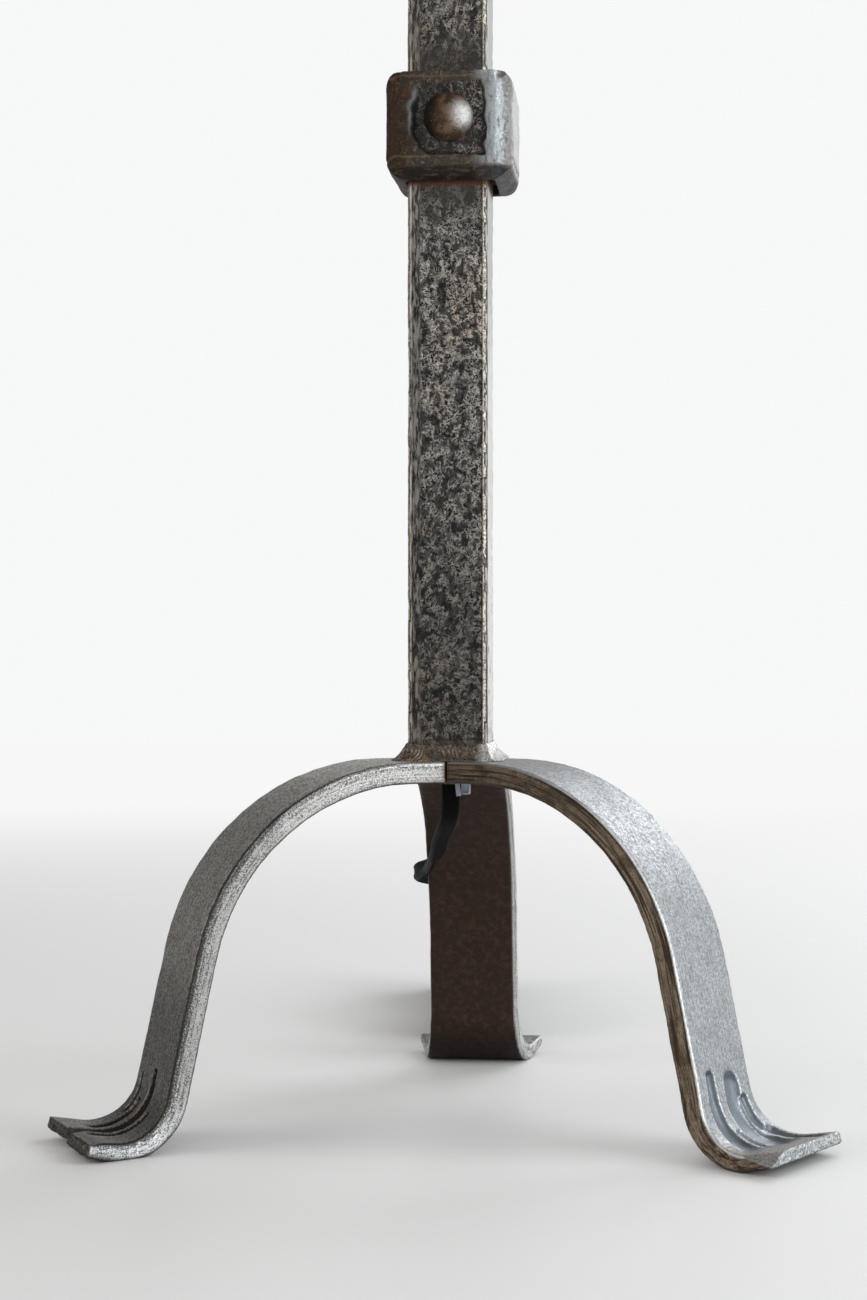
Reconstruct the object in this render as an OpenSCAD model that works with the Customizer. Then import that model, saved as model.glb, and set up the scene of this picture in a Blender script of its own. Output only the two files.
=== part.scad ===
// Table lamp with a forged tripod foot, a square stem, a riveted collar and a harp-mounted shade.
// Millimetres, +Z up. The origin is on the table, on the axis of the stem.

/* [Legs] */
// Height of the flat top of the three legs above the table
leg_top = 113; // [100:1:130]
// Width of the flat bar that the legs are bent from
bar_w = 30.5; // [26:0.5:36]
// Thickness of the flat bar
bar_t = 6.8; // [5:0.1:8]
// Rounding of the bar's long edges
bar_edge_r = 0.9; // [0.5:0.1:1.2]
// Flat length of each leg, from the middle of the lamp to the start of its bend
leg_flat = 20; // [19:0.5:26]
// Radius of the large bend, at the middle of the bar
bend_r = 68; // [55:1:70]
// Angle that the large bend turns through, from level to the slope of the shin
bend_a = 77.5; // [70:0.5:82]
// Radius of the heel bend, at the middle of the bar
heel_r = 17; // [13:0.5:22]
// Angle by which the toe rises from the table
toe_rise = 12; // [6:1:18]
// Straight length of the toe past the heel bend
toe_len = 9; // [6:0.5:14]
// Width of the flared toe at its tip
toe_w = 45; // [36:1:52]
// Thickness of the toe at its tip
toe_t = 3.5; // [2.5:0.1:4.5]
// Depth by which the heel is ground flat where it stands
heel_flat = 0.25; // [0.15:0.05:0.4]
// Open seam between the mitred ends of two legs
mitre_gap = 0.6; // [0.3:0.1:1]
// Bore in the middle of the legs for the lead
lead_hole_d = 11; // [10:0.5:13]
// Depth of the forged flutes on the foot
flute_depth = 1.3; // [0.6:0.1:1.8]
// Length of the flutes, measured back from the tip of the toe
flute_len = 42; // [34:1:46]

/* [Stem and its welds] */
// Side of the square stem tube
stem_w = 25; // [23:0.5:27]
// Wall of the stem tube
stem_wall = 2; // [1.5:0.1:2.5]
// Outside corner radius of the stem tube
stem_r = 1.8; // [1:0.1:2.5]
// Length of the stem tube
stem_len = 307; // [280:1:340]
// Width of the weld bead round the foot of the stem
weld_w = 5; // [3:0.1:5.5]
// Height of that weld bead
weld_h = 5.3; // [3:0.1:6.5]
// Depth of the ripples in the bead
weld_ripple = 0.25; // [0.1:0.05:0.4]
// Width of the seam welds under the legs
seam_weld_w = 5; // [4:0.5:6]
// Height of the seam welds, ground nearly flush
seam_weld_t = 0.5; // [0.4:0.1:1]

/* [Collar] */
// Height of the collar's lower face above the table
collar_z = 293; // [200:1:330]
// Width of the square collar
collar_w = 39.7; // [38:0.1:42]
// Height of the collar
collar_h = 34; // [30:1:40]
// Rounding of the collar's edges
collar_r = 6.5; // [4:0.5:7]
// Clearance all round between the collar and the stem, which the rivets bridge
collar_gap = 1.1; // [0.95:0.05:1.4]
// Sideways offset of the collar, which was riveted slightly off the middle
collar_shift = 0.9; // [0:0.1:0.9]
// Width of the sunken panel on the front and the back
panel_w = 23.6; // [21:0.1:25]
// Height of the sunken panel
panel_h = 24.5; // [21:0.5:26]
// Distance that the panel sits above the middle of the collar
panel_up = 1.7; // [0:0.1:2]
// Depth of the sunken panel
panel_depth = 1.3; // [0.8:0.1:2]
// Diameter of the domed rivet head
rivet_d = 15.6; // [13:0.2:18]
// Height of the rivet head
rivet_h = 6.5; // [5:0.1:7]
// Diameter of the rivet's shank
rivet_shank_d = 6; // [5:0.5:7]

/* [Stem top] */
// Side of the square cap on the stem
cap_w = 27; // [26:0.5:30]
// Thickness of the cap's plate
cap_t = 3; // [2:0.5:4]
// Depth of the cap's plug inside the stem
cap_plug = 6; // [4:0.5:10]
// Outside diameter of the threaded nipple
nipple_d = 10; // [9.5:0.1:10.5]
// Bore of the nipple
nipple_bore = 6.8; // [6.6:0.1:7.2]
// Size across the flats of the nipple's nut
nut_af = 14; // [13:0.5:16]
// Thickness of that nut
nut_t = 3; // [2.5:0.5:4]
// Height of the turned neck above the cap
neck_h = 12; // [8:1:18]
// Largest diameter of the neck
neck_d = 18; // [16:0.5:22]

/* [Harp] */
// Diameter of the harp's wire
harp_d = 3; // [2.6:0.1:3.2]
// Distance between the harp's two feet, at the middle of the wire
harp_foot_w = 44; // [42:1:48]
// Widest distance between the harp's sides, at the middle of the wire
harp_w = 104; // [98:1:110]
// Height of the harp above its saddle, at the middle of the top wire
harp_h = 205; // [195:1:215]
// Thickness of the saddle's strip
saddle_t = 1.2; // [1:0.1:1.5]
// Length of the ferrules that lock the harp
ferrule_len = 9; // [7:0.5:11]
// Distance that a ferrule slides up to free the harp
ferrule_travel = 14; // [10:1:15]
// Diameter of the threaded stud on the harp
stud_d = 6.2; // [5.8:0.1:6.4]
// Length of that stud
stud_len = 12; // [10:1:14]

/* [Socket] */
// Outside diameter of the socket's shell
shell_d = 31.6; // [31:0.1:33]
// Height from the saddle to the rim of the shell
socket_h = 66; // [64:1:70]
// Height of the switch shaft above the saddle
switch_z = 34; // [33:0.5:36]
// Diameter of the switch shaft
shaft_d = 3.2; // [3:0.1:3.6]
// Length of the turn key
key_len = 16; // [12:1:20]
// Width of the turn key
key_w = 13; // [11:0.5:14]

/* [Bulb] */
// Diameter of the bulb's globe
bulb_d = 60; // [55:1:65]
// Overall length of the bulb
bulb_len = 108; // [100:1:112]
// Wall of the glass
glass_t = 0.8; // [0.6:0.1:1.2]

/* [Shade] */
// Diameter of the shade's lower edge
shade_bottom_d = 330; // [300:1:360]
// Diameter of the shade's upper edge
shade_top_d = 230; // [200:1:250]
// Height of the shade
shade_h = 232; // [210:1:240]
// Thickness of the lined fabric
shade_t = 1.2; // [0.8:0.1:2]
// Distance that the spider's hub lies below the shade's upper edge
spider_drop = 13; // [8:1:20]
// Diameter of the ring and spider wire
ring_d = 3; // [2.5:0.1:4]
// Width of the binding tape on the edges
tape_w = 10; // [6:1:14]
// Diameter of the finial's ball
finial_d = 18; // [14:1:22]

/* [Lead and plug] */
// Width of the flat two-core lead
lead_w = 6; // [5.6:0.1:6.2]
// Thickness of the lead
lead_t = 3; // [2.6:0.1:3.2]
// Length of the straight runs of the tied hank
hank_run = 120; // [100:1:124]
// Half width of the hank at its widest run
hank_r = 15.4; // [15:0.1:16]
// Sideways step of the hank where it climbs a layer
hank_step = 3.6; // [3.5:0.05:3.8]
// Height from one layer of the hank to the next
hank_layer = 6.5; // [6.45:0.05:6.8]
// Distance that the tie draws every run in at the waist
hank_waist = 8.5; // [5:0.5:9]
// Width of the plug's body
plug_w = 24; // [22:0.5:26]
// Thickness of the plug's body
plug_t = 13; // [11:0.5:15]
// Length of the plug's body
plug_len = 36; // [30:1:40]
// Length of the plug's blades
blade_len = 17; // [15:0.5:18]

/* [Clearances] */
// Gap between pieces that are fixed to each other
fit_gap = 0.1; // [0.05:0.05:0.2]
// Gap round pieces that move
run_gap = 0.3; // [0.2:0.05:0.5]
// Running clearance of the switch shaft in its bore
shaft_gap = 0.05; // [0.03:0.01:0.08]

/* [Hidden] */

iron = [0.27, 0.25, 0.24];
iron_pale = [0.5, 0.5, 0.49];
iron_dark = [0.2, 0.17, 0.15];
weld_bronze = [0.36, 0.3, 0.24];
brass = [0.72, 0.6, 0.36];
steel = [0.68, 0.68, 0.67];
black = [0.06, 0.06, 0.06];
linen = [0.86, 0.82, 0.74];

// Circles are fine enough to be read as true curves
$fn = 48;
// A little more than the size it is added to, for cuts that run past a face
over = 1;

// Legs: the path of the bar's middle, by distance from the axis
leg_rise = bend_r * (1 - cos(bend_a)) + heel_r * (1 - cos(bend_a));
leg_mid_top = leg_top - bar_t / 2;
heel_to_tip = heel_r * toe_rise * PI / 180 + toe_len;
heel_t = toe_thin(1 - heel_to_tip / flute_len);
shin_len = (leg_mid_top + heel_flat - heel_t / 2 - leg_rise) / sin(bend_a);
s_bend = leg_flat + bend_r * bend_a * PI / 180;
s_shin = s_bend + shin_len;
s_heel = s_shin + heel_r * (bend_a + toe_rise) * PI / 180;
s_tip = s_heel + toe_len;
s_flute = s_tip - flute_len;
bend_end = [leg_flat + bend_r * sin(bend_a), leg_mid_top - bend_r * (1 - cos(bend_a))];
shin_end = bend_end + shin_len * [cos(bend_a), -sin(bend_a)];
heel_mid = shin_end + heel_r * [sin(bend_a), cos(bend_a)];
leg_under = leg_top - bar_t;

// Stem
stem_top = leg_top + stem_len;
stem_bore = stem_w - 2 * stem_wall;
weld_in = stem_w / 2 + fit_gap / 2;

// Collar
collar_hole = stem_w + 2 * collar_gap;
collar_mid = collar_z + collar_h / 2;
panel_z = collar_mid + panel_up;
panel_y = collar_w / 2 - panel_depth;
rivet_end = stem_w / 2 - stem_wall - 1;

// Stem top and socket
cap_top = stem_top + cap_t;
neck_top = cap_top + neck_h;
base_z = neck_top + saddle_t;
nipple_low = stem_top - cap_plug - nut_t - 2;
nipple_top = base_z + 8;
shell_r = shell_d / 2;
shell_wall = 0.6;
cap_wall = 0.8;
shell_low = 17.5;
cap_rim = 25;
liner_out = shell_r - shell_wall - fit_gap;
liner_wall = 0.6;
body_r = liner_out - liner_wall - 0.2;
body_low = 20;
body_top = 44;
terminal_flat = 10;
terminal_z = 28;
key_y = shell_r + 2;
key_hole = 6.5;
slot_r = shaft_d / 2 + 2.2;
thread_pitch = 3.63;
thread_h = 0.45;
screw_in = 13.35;

// Bulb, measured from the saddle
bulb_low = body_top + 3.1;
bulb_top = bulb_low + bulb_len;
globe_z = bulb_top - bulb_d / 2;
cap_low = bulb_low + 3.8;
cap_high = bulb_low + 25.5;
bulb_cap_r = screw_in - run_gap - 0.05;
glass_neck_r = 12.2;

// Harp
harp_z = base_z + harp_h;
foot_x = harp_foot_w / 2;
ear_in = harp_d / 2 + fit_gap;
ear_out = ear_in + 0.9;
ear_low = 1.6;
ear_top = 13;
ferrule_low = ear_low + 1.4 + run_gap;
ferrule_in = ear_out + run_gap;
ferrule_out = ferrule_in + 0.8;
harp_straight = ferrule_low + ferrule_len + ferrule_travel + 1;
harp_side = harp_w / 2;
harp_top_r = 46;
sway_a = 40;
sway_r = (harp_side - foot_x) / 2 / (1 - cos(sway_a));
hub_r = 12;
hub_t = 1.5;
stud_base_r = 6.5;
stud_base_t = 3.4;
stud_low = harp_z + harp_d / 2 + 2 * fit_gap;
hub_z = stud_low + stud_base_t + run_gap;

// Shade
shade_top = hub_z + hub_t / 2 + spider_drop;
shade_low = shade_top - shade_h;
shade_lean = atan((shade_bottom_d - shade_top_d) / 2 / shade_h);
tape_t = 0.5;
finial_z = hub_z + hub_t + run_gap;
finial_h = 12 + finial_d;

// Lead: its exit, and the points of the part that hangs from the stem, hooks round the rear
// leg and comes down to the table; each has the direction of the lead's width
lead_exit = leg_under;
lead_route = [
    [[0, 0, lead_exit], [1, 0, 0]],
    [[0, 0, 105], [1, 0, 0]],
    [[0, 0.35, 102], [1, 0, 0]],
    [[-0.1, 1.5, 98.6], [1, 0, 0]],
    [[-0.5, 3.5, 95.6], [1, 0, 0]],
    [[-1.2, 6.3, 93.1], [1, 0, 0]],
    [[-2.2, 9.8, 91], [1, 0, 0]],
    [[-3.5, 14.7, 88.8], [1, 0, 0.1]],
    [[-5.6, 24, 85], [1, 0, 0.3]],
    [[-8, 38, 80], [1, 0, 0.6]],
    [[-11, 52, 76], [0.7, 0, 1]],
    [[-14, 64, 73], [0.4, 0, 1]],
    [[-17.5, 73, 71], [0, 0, 1]],
    [[-19, 81, 69.5], [0, 0, 1]],
    [[-18, 89, 68], [0, 0, 1]],
    [[-13.5, 96, 66], [0.2, 0, 1]],
    [[-7.5, 100, 62], [0.6, 0, 1]],
    [[-3.5, 103, 55], [1, 0, 0.4]],
    [[-2, 107, 46], [1, 0, 0]],
    [[-1.5, 113, 35], [1, 0, 0]],
    [[-1, 120, 25], [1, 0, 0]],
    [[0.5, 127, 17], [0.8, 0, 0.5]],
    [[2.9, 133.4, 10.9], [0.4, 0, 0.8]],
    [[5.8, 139.4, 6.6], [0.1, 0, 1]],
    [[8, 145, 4], [0, 0, 1]]
];
// Section of the lead: two round cores with a groove between them, eight sides
lead_section = [
    [lead_w / 2, 0], [lead_w / 4, lead_t / 2], [0, lead_t * 0.35], [-lead_w / 4, lead_t / 2],
    [-lead_w / 2, 0], [-lead_w / 4, -lead_t / 2], [0, -lead_t * 0.35], [lead_w / 4, -lead_t / 2]
];

// Hank: nine runs in four layers, laid on the table in line with the rear leg
hank_at = [-7.2, 161];
hank_turn = 4.65;
hank_runs = 9;
hank_low = lead_w / 2;
hank_lift = 1.3;
run_stops = [0, 0.17, 0.33, 0.47, 0.53, 0.67, 0.83, 1];
turn_rings = 5;
hank_section = [
    [lead_w / 2, 0], [lead_w / 4, lead_t / 2], [-lead_w / 4, lead_t / 2],
    [-lead_w / 2, 0], [-lead_w / 4, -lead_t / 2], [lead_w / 4, -lead_t / 2]
];
tail_z = hank_low + 4 * hank_layer;
plug_z = hank_low + 4 * hank_layer + plug_t / 2 + 1.2;
plug_front = hank_run / 2 - 12;
relief_len = 24;
tie_w = 6;
tie_t = 0.9;

// Vector helpers
function unit(v) = v / norm(v);
function path_dir(P, i) = unit(P[min(i + 1, len(P) - 1)] - P[max(i - 1, 0)]);
function path_len(P) = len(P) < 2 ? 0 : norm(P[1] - P[0]) + path_len([for (i = [1:len(P) - 1]) P[i]]);
function steps(a, b, n) = [for (i = [0:n]) a + (b - a) * i / n];

// One ring of a sweep: a section laid across the path, its first axis along the wide direction
function ring_at(c, dir, wide, S) =
    let (u = unit(wide - (wide * dir) * dir), v = cross(dir, u))
    [for (s = S) c + s[0] * u + s[1] * v];
function sweep_rings(P, W, S) = [for (i = [0:len(P) - 1]) ring_at(P[i], path_dir(P, i), W[i], S)];

// Solid through a list of rings, with a fan over each end, or closed into a loop
module loft(R, loop = false) {
    n = len(R[0]);
    m = len(R);
    centre = [for (e = [R[0], R[m - 1]]) [for (k = [0:2]) [for (p = e) 1] * [for (p = e) p[k]] / n]];
    points = concat([for (r = R) each r], loop ? [] : centre);
    last = loop ? m - 1 : m - 2;
    sides = [for (i = [0:last], j = [0:n - 1])
        let (a = i * n + j, b = i * n + (j + 1) % n, i2 = (i + 1) % m)
        each [[a, i2 * n + j, i2 * n + (j + 1) % n], [a, i2 * n + (j + 1) % n, b]]];
    ends = loop ? [] : [for (j = [0:n - 1])
        each [[m * n, j, (j + 1) % n], [m * n + 1, (m - 1) * n + (j + 1) % n, (m - 1) * n + j]]];
    polyhedron(points, concat(sides, ends), convexity = 8);
}

// Square with round corners, as true arcs
module round_square(w, d, r) {
    square([w - 2 * r, d], center = true);
    square([w, d - 2 * r], center = true);
    for (x = [-1, 1], y = [-1, 1]) {
        translate([x * (w / 2 - r), y * (d / 2 - r)]) circle(r);
    }
}

module tube(r_out, r_in, z0, z1) {
    rotate_extrude() translate([r_in, z0]) square([r_out - r_in, z1 - z0]);
}

// Middle of the leg's bar at distance s along it: [radius, height, slope]
function leg_at(s) =
    s <= leg_flat ? [s, leg_mid_top, 0]
    : s <= s_bend ? let (a = (s - leg_flat) / bend_r * 180 / PI)
        [leg_flat + bend_r * sin(a), leg_mid_top - bend_r * (1 - cos(a)), a]
    : s <= s_shin ? let (d = s - s_bend)
        [bend_end[0] + d * cos(bend_a), bend_end[1] - d * sin(bend_a), bend_a]
    : s <= s_heel ? let (a = bend_a - (s - s_shin) / heel_r * 180 / PI)
        [heel_mid[0] - heel_r * sin(a), heel_mid[1] - heel_r * cos(a), a]
    : let (d = s - s_heel)
        [heel_mid[0] + heel_r * sin(toe_rise) + d * cos(toe_rise),
         heel_mid[1] - heel_r * cos(toe_rise) + d * sin(toe_rise), -toe_rise];

// Share of the way along the foot, from the start of the flutes to the tip
function foot_u(s) = max(0, min(1, (s - s_flute) / flute_len));
function leg_w(s) = bar_w + (toe_w - bar_w) * pow(foot_u(s), 1.6);
function toe_thin(u) = bar_t + (toe_t - bar_t) * pow(max(0, (u - 0.3) / 0.7), 1.2);
function leg_t(s) = toe_thin(foot_u(s));

// Depth of a flute along the foot: a rounded start, full in the heel and fading at the toe
function flute_run(s, start) =
    let (v = (foot_u(s) - start) / (1 - start))
    v <= 0 ? 0 : flute_depth * min(1, sqrt(v / 0.12)) * min(1, sqrt((1 - v) / 0.5) + 0.12);
function flute_start(k) = [0.09, 0.02, 0.15][k + 1];

// Section of the leg: rounded edges, a flat inner face and three flutes in the outer face
function leg_section(s) =
    let (w = leg_w(s) / 2, t = leg_t(s) / 2, e = min(bar_edge_r, t * 0.6), third = (w - e) * 2 / 3)
    concat(
        [for (a = [-90:45:0]) [w - e + e * cos(a), -t + e + e * sin(a)]],
        [for (a = [0:45:90]) [w - e + e * cos(a), t - e + e * sin(a)]],
        [for (k = [1:-1:-1], q = [0.4:-0.2:-0.4])
            [third * (k + q), t - flute_run(s, flute_start(k)) * pow(cos(q * 90 / 0.4), 2)]],
        [for (a = [90:45:180]) [-w + e + e * cos(a), t - e + e * sin(a)]],
        [for (a = [180:45:270]) [-w + e + e * cos(a), -t + e + e * sin(a)]]
    );

leg_stations = concat(
    [0], steps(leg_flat, s_bend, 14), [(s_bend + s_flute) / 2],
    [for (u = steps(0, 1, 18)) s_flute + flute_len * u]
);

module leg(turn) {
    rings = [for (s = leg_stations)
        let (q = leg_at(s), dir = [cos(q[2]), 0, -sin(q[2])])
        ring_at([q[0], 0, q[1]], dir, [0, 1, 0], leg_section(s))];
    rotate([0, 0, turn]) difference() {
        loft(rings);
        for (m = [0, 1]) {
            mirror([0, m, 0]) rotate([0, 0, 60]) translate([-bar_w, -mitre_gap / 2, leg_under - over])
                cube([3 * bar_w, 2 * bar_w, bar_t + 2 * over]);
        }
        translate([0, 0, leg_under - over]) cylinder(d = lead_hole_d, h = bar_t + 2 * over);
        translate([0, -toe_w, -20]) cube([2 * bend_r + toe_w, 2 * toe_w, 20]);
    }
}

module leg_rear() {
    color(iron_dark) leg(90);
}

module leg_front_left() {
    color(iron_pale) leg(210);
}

module leg_front_right() {
    color(iron_pale) leg(330);
}

// Three beads across the mitred seams, on the hidden underside
module seam_welds() {
    seam_in = lead_hole_d / 2 + 1;
    seam_out = bar_w / 2 / sin(60) - 5;
    color(weld_bronze) for (a = [30, 150, 270]) {
        rotate([0, 0, a]) intersection() {
            translate([seam_in, 0, leg_under]) rotate([0, 90, 0])
                cylinder(d = seam_weld_w, h = seam_out - seam_in);
            translate([0, -seam_weld_w, leg_under - seam_weld_t])
                cube([bar_w, 2 * seam_weld_w, seam_weld_t]);
        }
    }
}

module stem_tube() {
    color(iron) translate([0, 0, leg_top]) difference() {
        linear_extrude(stem_len) round_square(stem_w, stem_w, stem_r);
        translate([0, 0, -over]) linear_extrude(stem_len + 2 * over)
            round_square(stem_bore, stem_bore, max(0.3, stem_r - stem_wall / 2));
        for (y = [-1, 1]) {
            translate([collar_shift, y * stem_w / 2, panel_z - leg_top]) rotate([90, 0, 0])
                cylinder(d = rivet_shank_d + 2 * fit_gap, h = 3 * stem_wall, center = true);
        }
    }
}

// Fillet weld round the foot of the stem: a rippled bead that swells at the corners
module stem_weld() {
    corner_r = stem_r + fit_gap / 2;
    side = weld_in - corner_r;
    per_side = 9;
    per_corner = 4;
    stations = [for (q = [0:3], i = [0:per_side + per_corner - 1])
        i < per_side
            ? [q * 90, side, side - 2 * side * i / (per_side - 0.5), 0]
            : [q * 90, side, -side, 90 * (i - per_side + 0.5) / per_corner]];
    rings = [for (i = [0:len(stations) - 1])
        let (
            k = stations[i],
            way = -k[0] - k[3],
            swell = 1 + weld_ripple * (i % 2) / 2 - weld_ripple / 4 + 0.12 * abs(sin(2 * k[3])),
            dir = [cos(way), sin(way), 0],
            base = [cos(k[0]) * k[1] + sin(k[0]) * k[2], -sin(k[0]) * k[1] + cos(k[0]) * k[2], leg_top]
        )
        [for (p = [[0, 0], [weld_w * swell, 0], [weld_w * 0.6 * swell, weld_h * 0.42], [0, weld_h * swell]])
            base + (corner_r + p[0]) * dir + [0, 0, p[1]]]];
    color(weld_bronze) loft(rings, loop = true);
}

// Pillow-shaped collar with a sunken panel front and back
module collar() {
    color(iron) difference() {
        translate([collar_shift, 0, collar_mid]) intersection() {
            linear_extrude(collar_h, center = true) round_square(collar_w, collar_w, collar_r);
            rotate([90, 0, 0]) linear_extrude(collar_w, center = true)
                round_square(collar_w, collar_h, collar_r);
            rotate([90, 0, 90]) linear_extrude(collar_w, center = true)
                round_square(collar_w, collar_h, collar_r);
        }
        translate([collar_shift, 0, collar_z - over]) linear_extrude(collar_h + 2 * over)
            round_square(collar_hole, collar_hole, stem_r);
        for (y = [-1, 1]) {
            translate([collar_shift, y * panel_y, panel_z]) rotate([y * -90, 0, 0])
                linear_extrude(collar_w) round_square(panel_w, panel_h, 2);
            translate([collar_shift, y * panel_y, panel_z]) rotate([90, 0, 0])
                cylinder(d = rivet_shank_d + 2 * fit_gap, h = collar_w, center = true);
        }
    }
}

// Domed rivet through the collar and the wall of the stem
module rivet(side) {
    dome_r = (rivet_h * rivet_h + rivet_d * rivet_d / 4) / (2 * rivet_h);
    translate([collar_shift, 0, panel_z]) rotate([side * 90, 0, 0]) {
        translate([0, 0, rivet_end]) cylinder(d = rivet_shank_d, h = panel_y - rivet_end + 0.5);
        intersection() {
            translate([0, 0, panel_y + rivet_h - dome_r]) sphere(dome_r);
            translate([0, 0, panel_y]) cylinder(d = rivet_d + over, h = rivet_h + over);
        }
    }
}

module collar_rivet_front() {
    color(weld_bronze) rivet(1);
}

module collar_rivet_back() {
    color(weld_bronze) rivet(-1);
}

// Square cap with a plug that fits the bore of the stem
module stem_cap() {
    color(iron) difference() {
        union() {
            translate([0, 0, stem_top]) linear_extrude(cap_t) round_square(cap_w, cap_w, stem_r + 1);
            translate([0, 0, stem_top - cap_plug]) linear_extrude(cap_plug + cap_t / 2)
                round_square(stem_bore - 2 * fit_gap, stem_bore - 2 * fit_gap, stem_r);
        }
        translate([0, 0, stem_top - cap_plug - over])
            cylinder(d = nipple_d + 2 * fit_gap, h = cap_plug + cap_t + 2 * over);
    }
}

module nipple() {
    color(steel) tube(nipple_d / 2, nipple_bore / 2, nipple_low, nipple_top);
}

module nipple_nut() {
    color(steel) translate([0, 0, stem_top - cap_plug - nut_t]) difference() {
        cylinder(d = nut_af / cos(30), h = nut_t, $fn = 6);
        translate([0, 0, -over]) cylinder(d = nipple_d + 2 * fit_gap, h = nut_t + 2 * over);
    }
}

// Turned neck, waisted between two beads
module neck() {
    r = neck_d / 2;
    hole = nipple_d / 2 + fit_gap;
    color(iron) translate([0, 0, cap_top]) rotate_extrude() difference() {
        union() {
            translate([hole, 0]) square([r - 2 - hole, neck_h]);
            translate([hole, 0]) square([r - 1 - hole, 1.5]);
            translate([r - 2, 2]) circle(2);
            translate([r - 3, neck_h - 1.5]) circle(1.5);
        }
        translate([r + 1, neck_h / 2 + 0.3]) circle(3.6);
        square([hole, neck_h]);
    }
}

// Harp saddle: a bent strip with a round ear at each end for the harp's feet
module harp_saddle() {
    arm_x = foot_x - ear_out;
    color(steel) translate([0, 0, neck_top]) difference() {
        union() {
            translate([0, 0, saddle_t / 2]) cube([2 * arm_x - 4, 12, saddle_t], center = true);
            for (m = [0, 1]) mirror([m, 0, 0]) {
                translate([0, 3, 0]) rotate([90, 0, 0]) linear_extrude(6) polygon([
                    [arm_x - 4, 0], [arm_x - 1.6, 0], [foot_x - 1, ear_low], [foot_x - 1, ear_low + 1.4],
                    [arm_x + 0.4, ear_low + 1.4], [arm_x - 2.2, saddle_t], [arm_x - 4, saddle_t]
                ]);
                translate([foot_x, 0, ear_low]) cylinder(r = ear_out, h = ear_top - ear_low);
            }
        }
        translate([0, 0, -over]) cylinder(d = nipple_d + 2 * fit_gap, h = saddle_t + 2 * over);
        for (m = [0, 1]) mirror([m, 0, 0]) {
            translate([foot_x, 0, ear_low + 1.4]) cylinder(r = ear_in, h = ear_top);
            translate([foot_x + 0.6, -ear_in, ear_low + 1.4]) cube([ear_out, 2 * ear_in, ear_top]);
        }
    }
}

// Half of the harp's path, from its foot to the middle of its top
function harp_half() =
    let (
        z1 = base_z + harp_straight,
        rise = 2 * sway_r * sin(sway_a),
        mid = (foot_x + harp_side) / 2,
        z3 = harp_z - harp_top_r
    )
    concat(
        [[foot_x, neck_top + ear_low + 1.4 + fit_gap], [foot_x, z1]],
        [for (a = [8:8:sway_a]) [foot_x + sway_r * (1 - cos(a)), z1 + sway_r * sin(a)]],
        [for (a = [sway_a - 8:-8:0]) [harp_side - sway_r * (1 - cos(a)), z1 + rise - sway_r * sin(a)]],
        [for (a = [0:10:90]) [harp_side - harp_top_r * (1 - cos(a)), z3 + harp_top_r * sin(a)]]
    );

module harp_wire() {
    half = harp_half();
    n = len(half);
    path = concat(
        [for (p = half) [-p[0], 0, p[1]]],
        [for (i = [n - 1:-1:0]) [half[i][0], 0, half[i][1]]]
    );
    section = [for (a = [0:36:324]) harp_d / 2 * [cos(a), sin(a)]];
    color(brass) loft(sweep_rings(path, [for (p = path) [0, 1, 0]], section));
}

// Stud that is crimped on the top of the harp and carries the shade and the finial
module harp_stud() {
    color(brass) difference() {
        union() {
            translate([0, 0, stud_low]) cylinder(r = stud_base_r, h = stud_base_t);
            translate([0, 0, stud_low]) cylinder(d = stud_d, h = stud_base_t + stud_len);
            translate([0, 0, harp_z]) rotate([0, 90, 0]) cylinder(r = harp_d / 2 + 1.2, h = 8, center = true);
            translate([0, 0, (harp_z + stud_low) / 2])
                cube([8, harp_d + 2.4, stud_low - harp_z], center = true);
        }
        translate([0, 0, harp_z]) rotate([0, 90, 0])
            cylinder(r = harp_d / 2 + fit_gap, h = 2 * stud_base_r + over, center = true);
    }
}

module ferrule(side) {
    translate([side * foot_x, 0, neck_top + ferrule_low]) rotate_extrude() polygon([
        [ferrule_in, 0], [ferrule_out - 0.3, 0], [ferrule_out, 0.3],
        [ferrule_out, ferrule_len - 1.2], [ferrule_out - 0.5, ferrule_len], [ferrule_in, ferrule_len]
    ]);
}

module ferrule_left() {
    color(brass) ferrule(-1);
}

module ferrule_right() {
    color(brass) ferrule(1);
}

// Lower half of the socket: a threaded hub that opens into a dome and a straight rim
module socket_cap() {
    hub = nipple_d / 2 + fit_gap;
    rim = shell_r + fit_gap;
    out = rim + cap_wall;
    color(brass) translate([0, 0, base_z]) rotate_extrude() polygon([
        [hub, 0], [hub + 2.2, 0], [hub + 2.2, 7], [9, 8.6], [13, 10.8], [out - 1.2, 13.4], [out, 16.5],
        [out, cap_rim - 0.8], [out + 0.5, cap_rim - 0.4], [out + 0.5, cap_rim], [rim, cap_rim],
        [rim, 16.7], [rim - 1.2, 14], [12.4, 11.6], [8.6, 9.6], [hub, 8.6]
    ]);
}

// Slot in the shell and the liner that lets them slip over the switch shaft
module shaft_slot() {
    translate([0, 0, switch_z]) rotate([90, 0, 0]) cylinder(r = slot_r, h = shell_d);
    translate([-slot_r, -shell_d, 0]) cube([2 * slot_r, shell_d, switch_z]);
}

module socket_shell() {
    r_in = shell_r - shell_wall;
    color(brass) translate([0, 0, base_z]) difference() {
        rotate_extrude() polygon([
            [r_in, shell_low], [shell_r, shell_low], [shell_r, socket_h - 3], [shell_r + 0.7, socket_h - 2],
            [shell_r + 0.7, socket_h - 0.6], [shell_r + 0.2, socket_h], [r_in, socket_h]
        ]);
        shaft_slot();
    }
}

module socket_liner() {
    color(linen) translate([0, 0, base_z]) difference() {
        tube(liner_out, liner_out - liner_wall, shell_low + 0.5, socket_h - 1);
        shaft_slot();
    }
}

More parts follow.
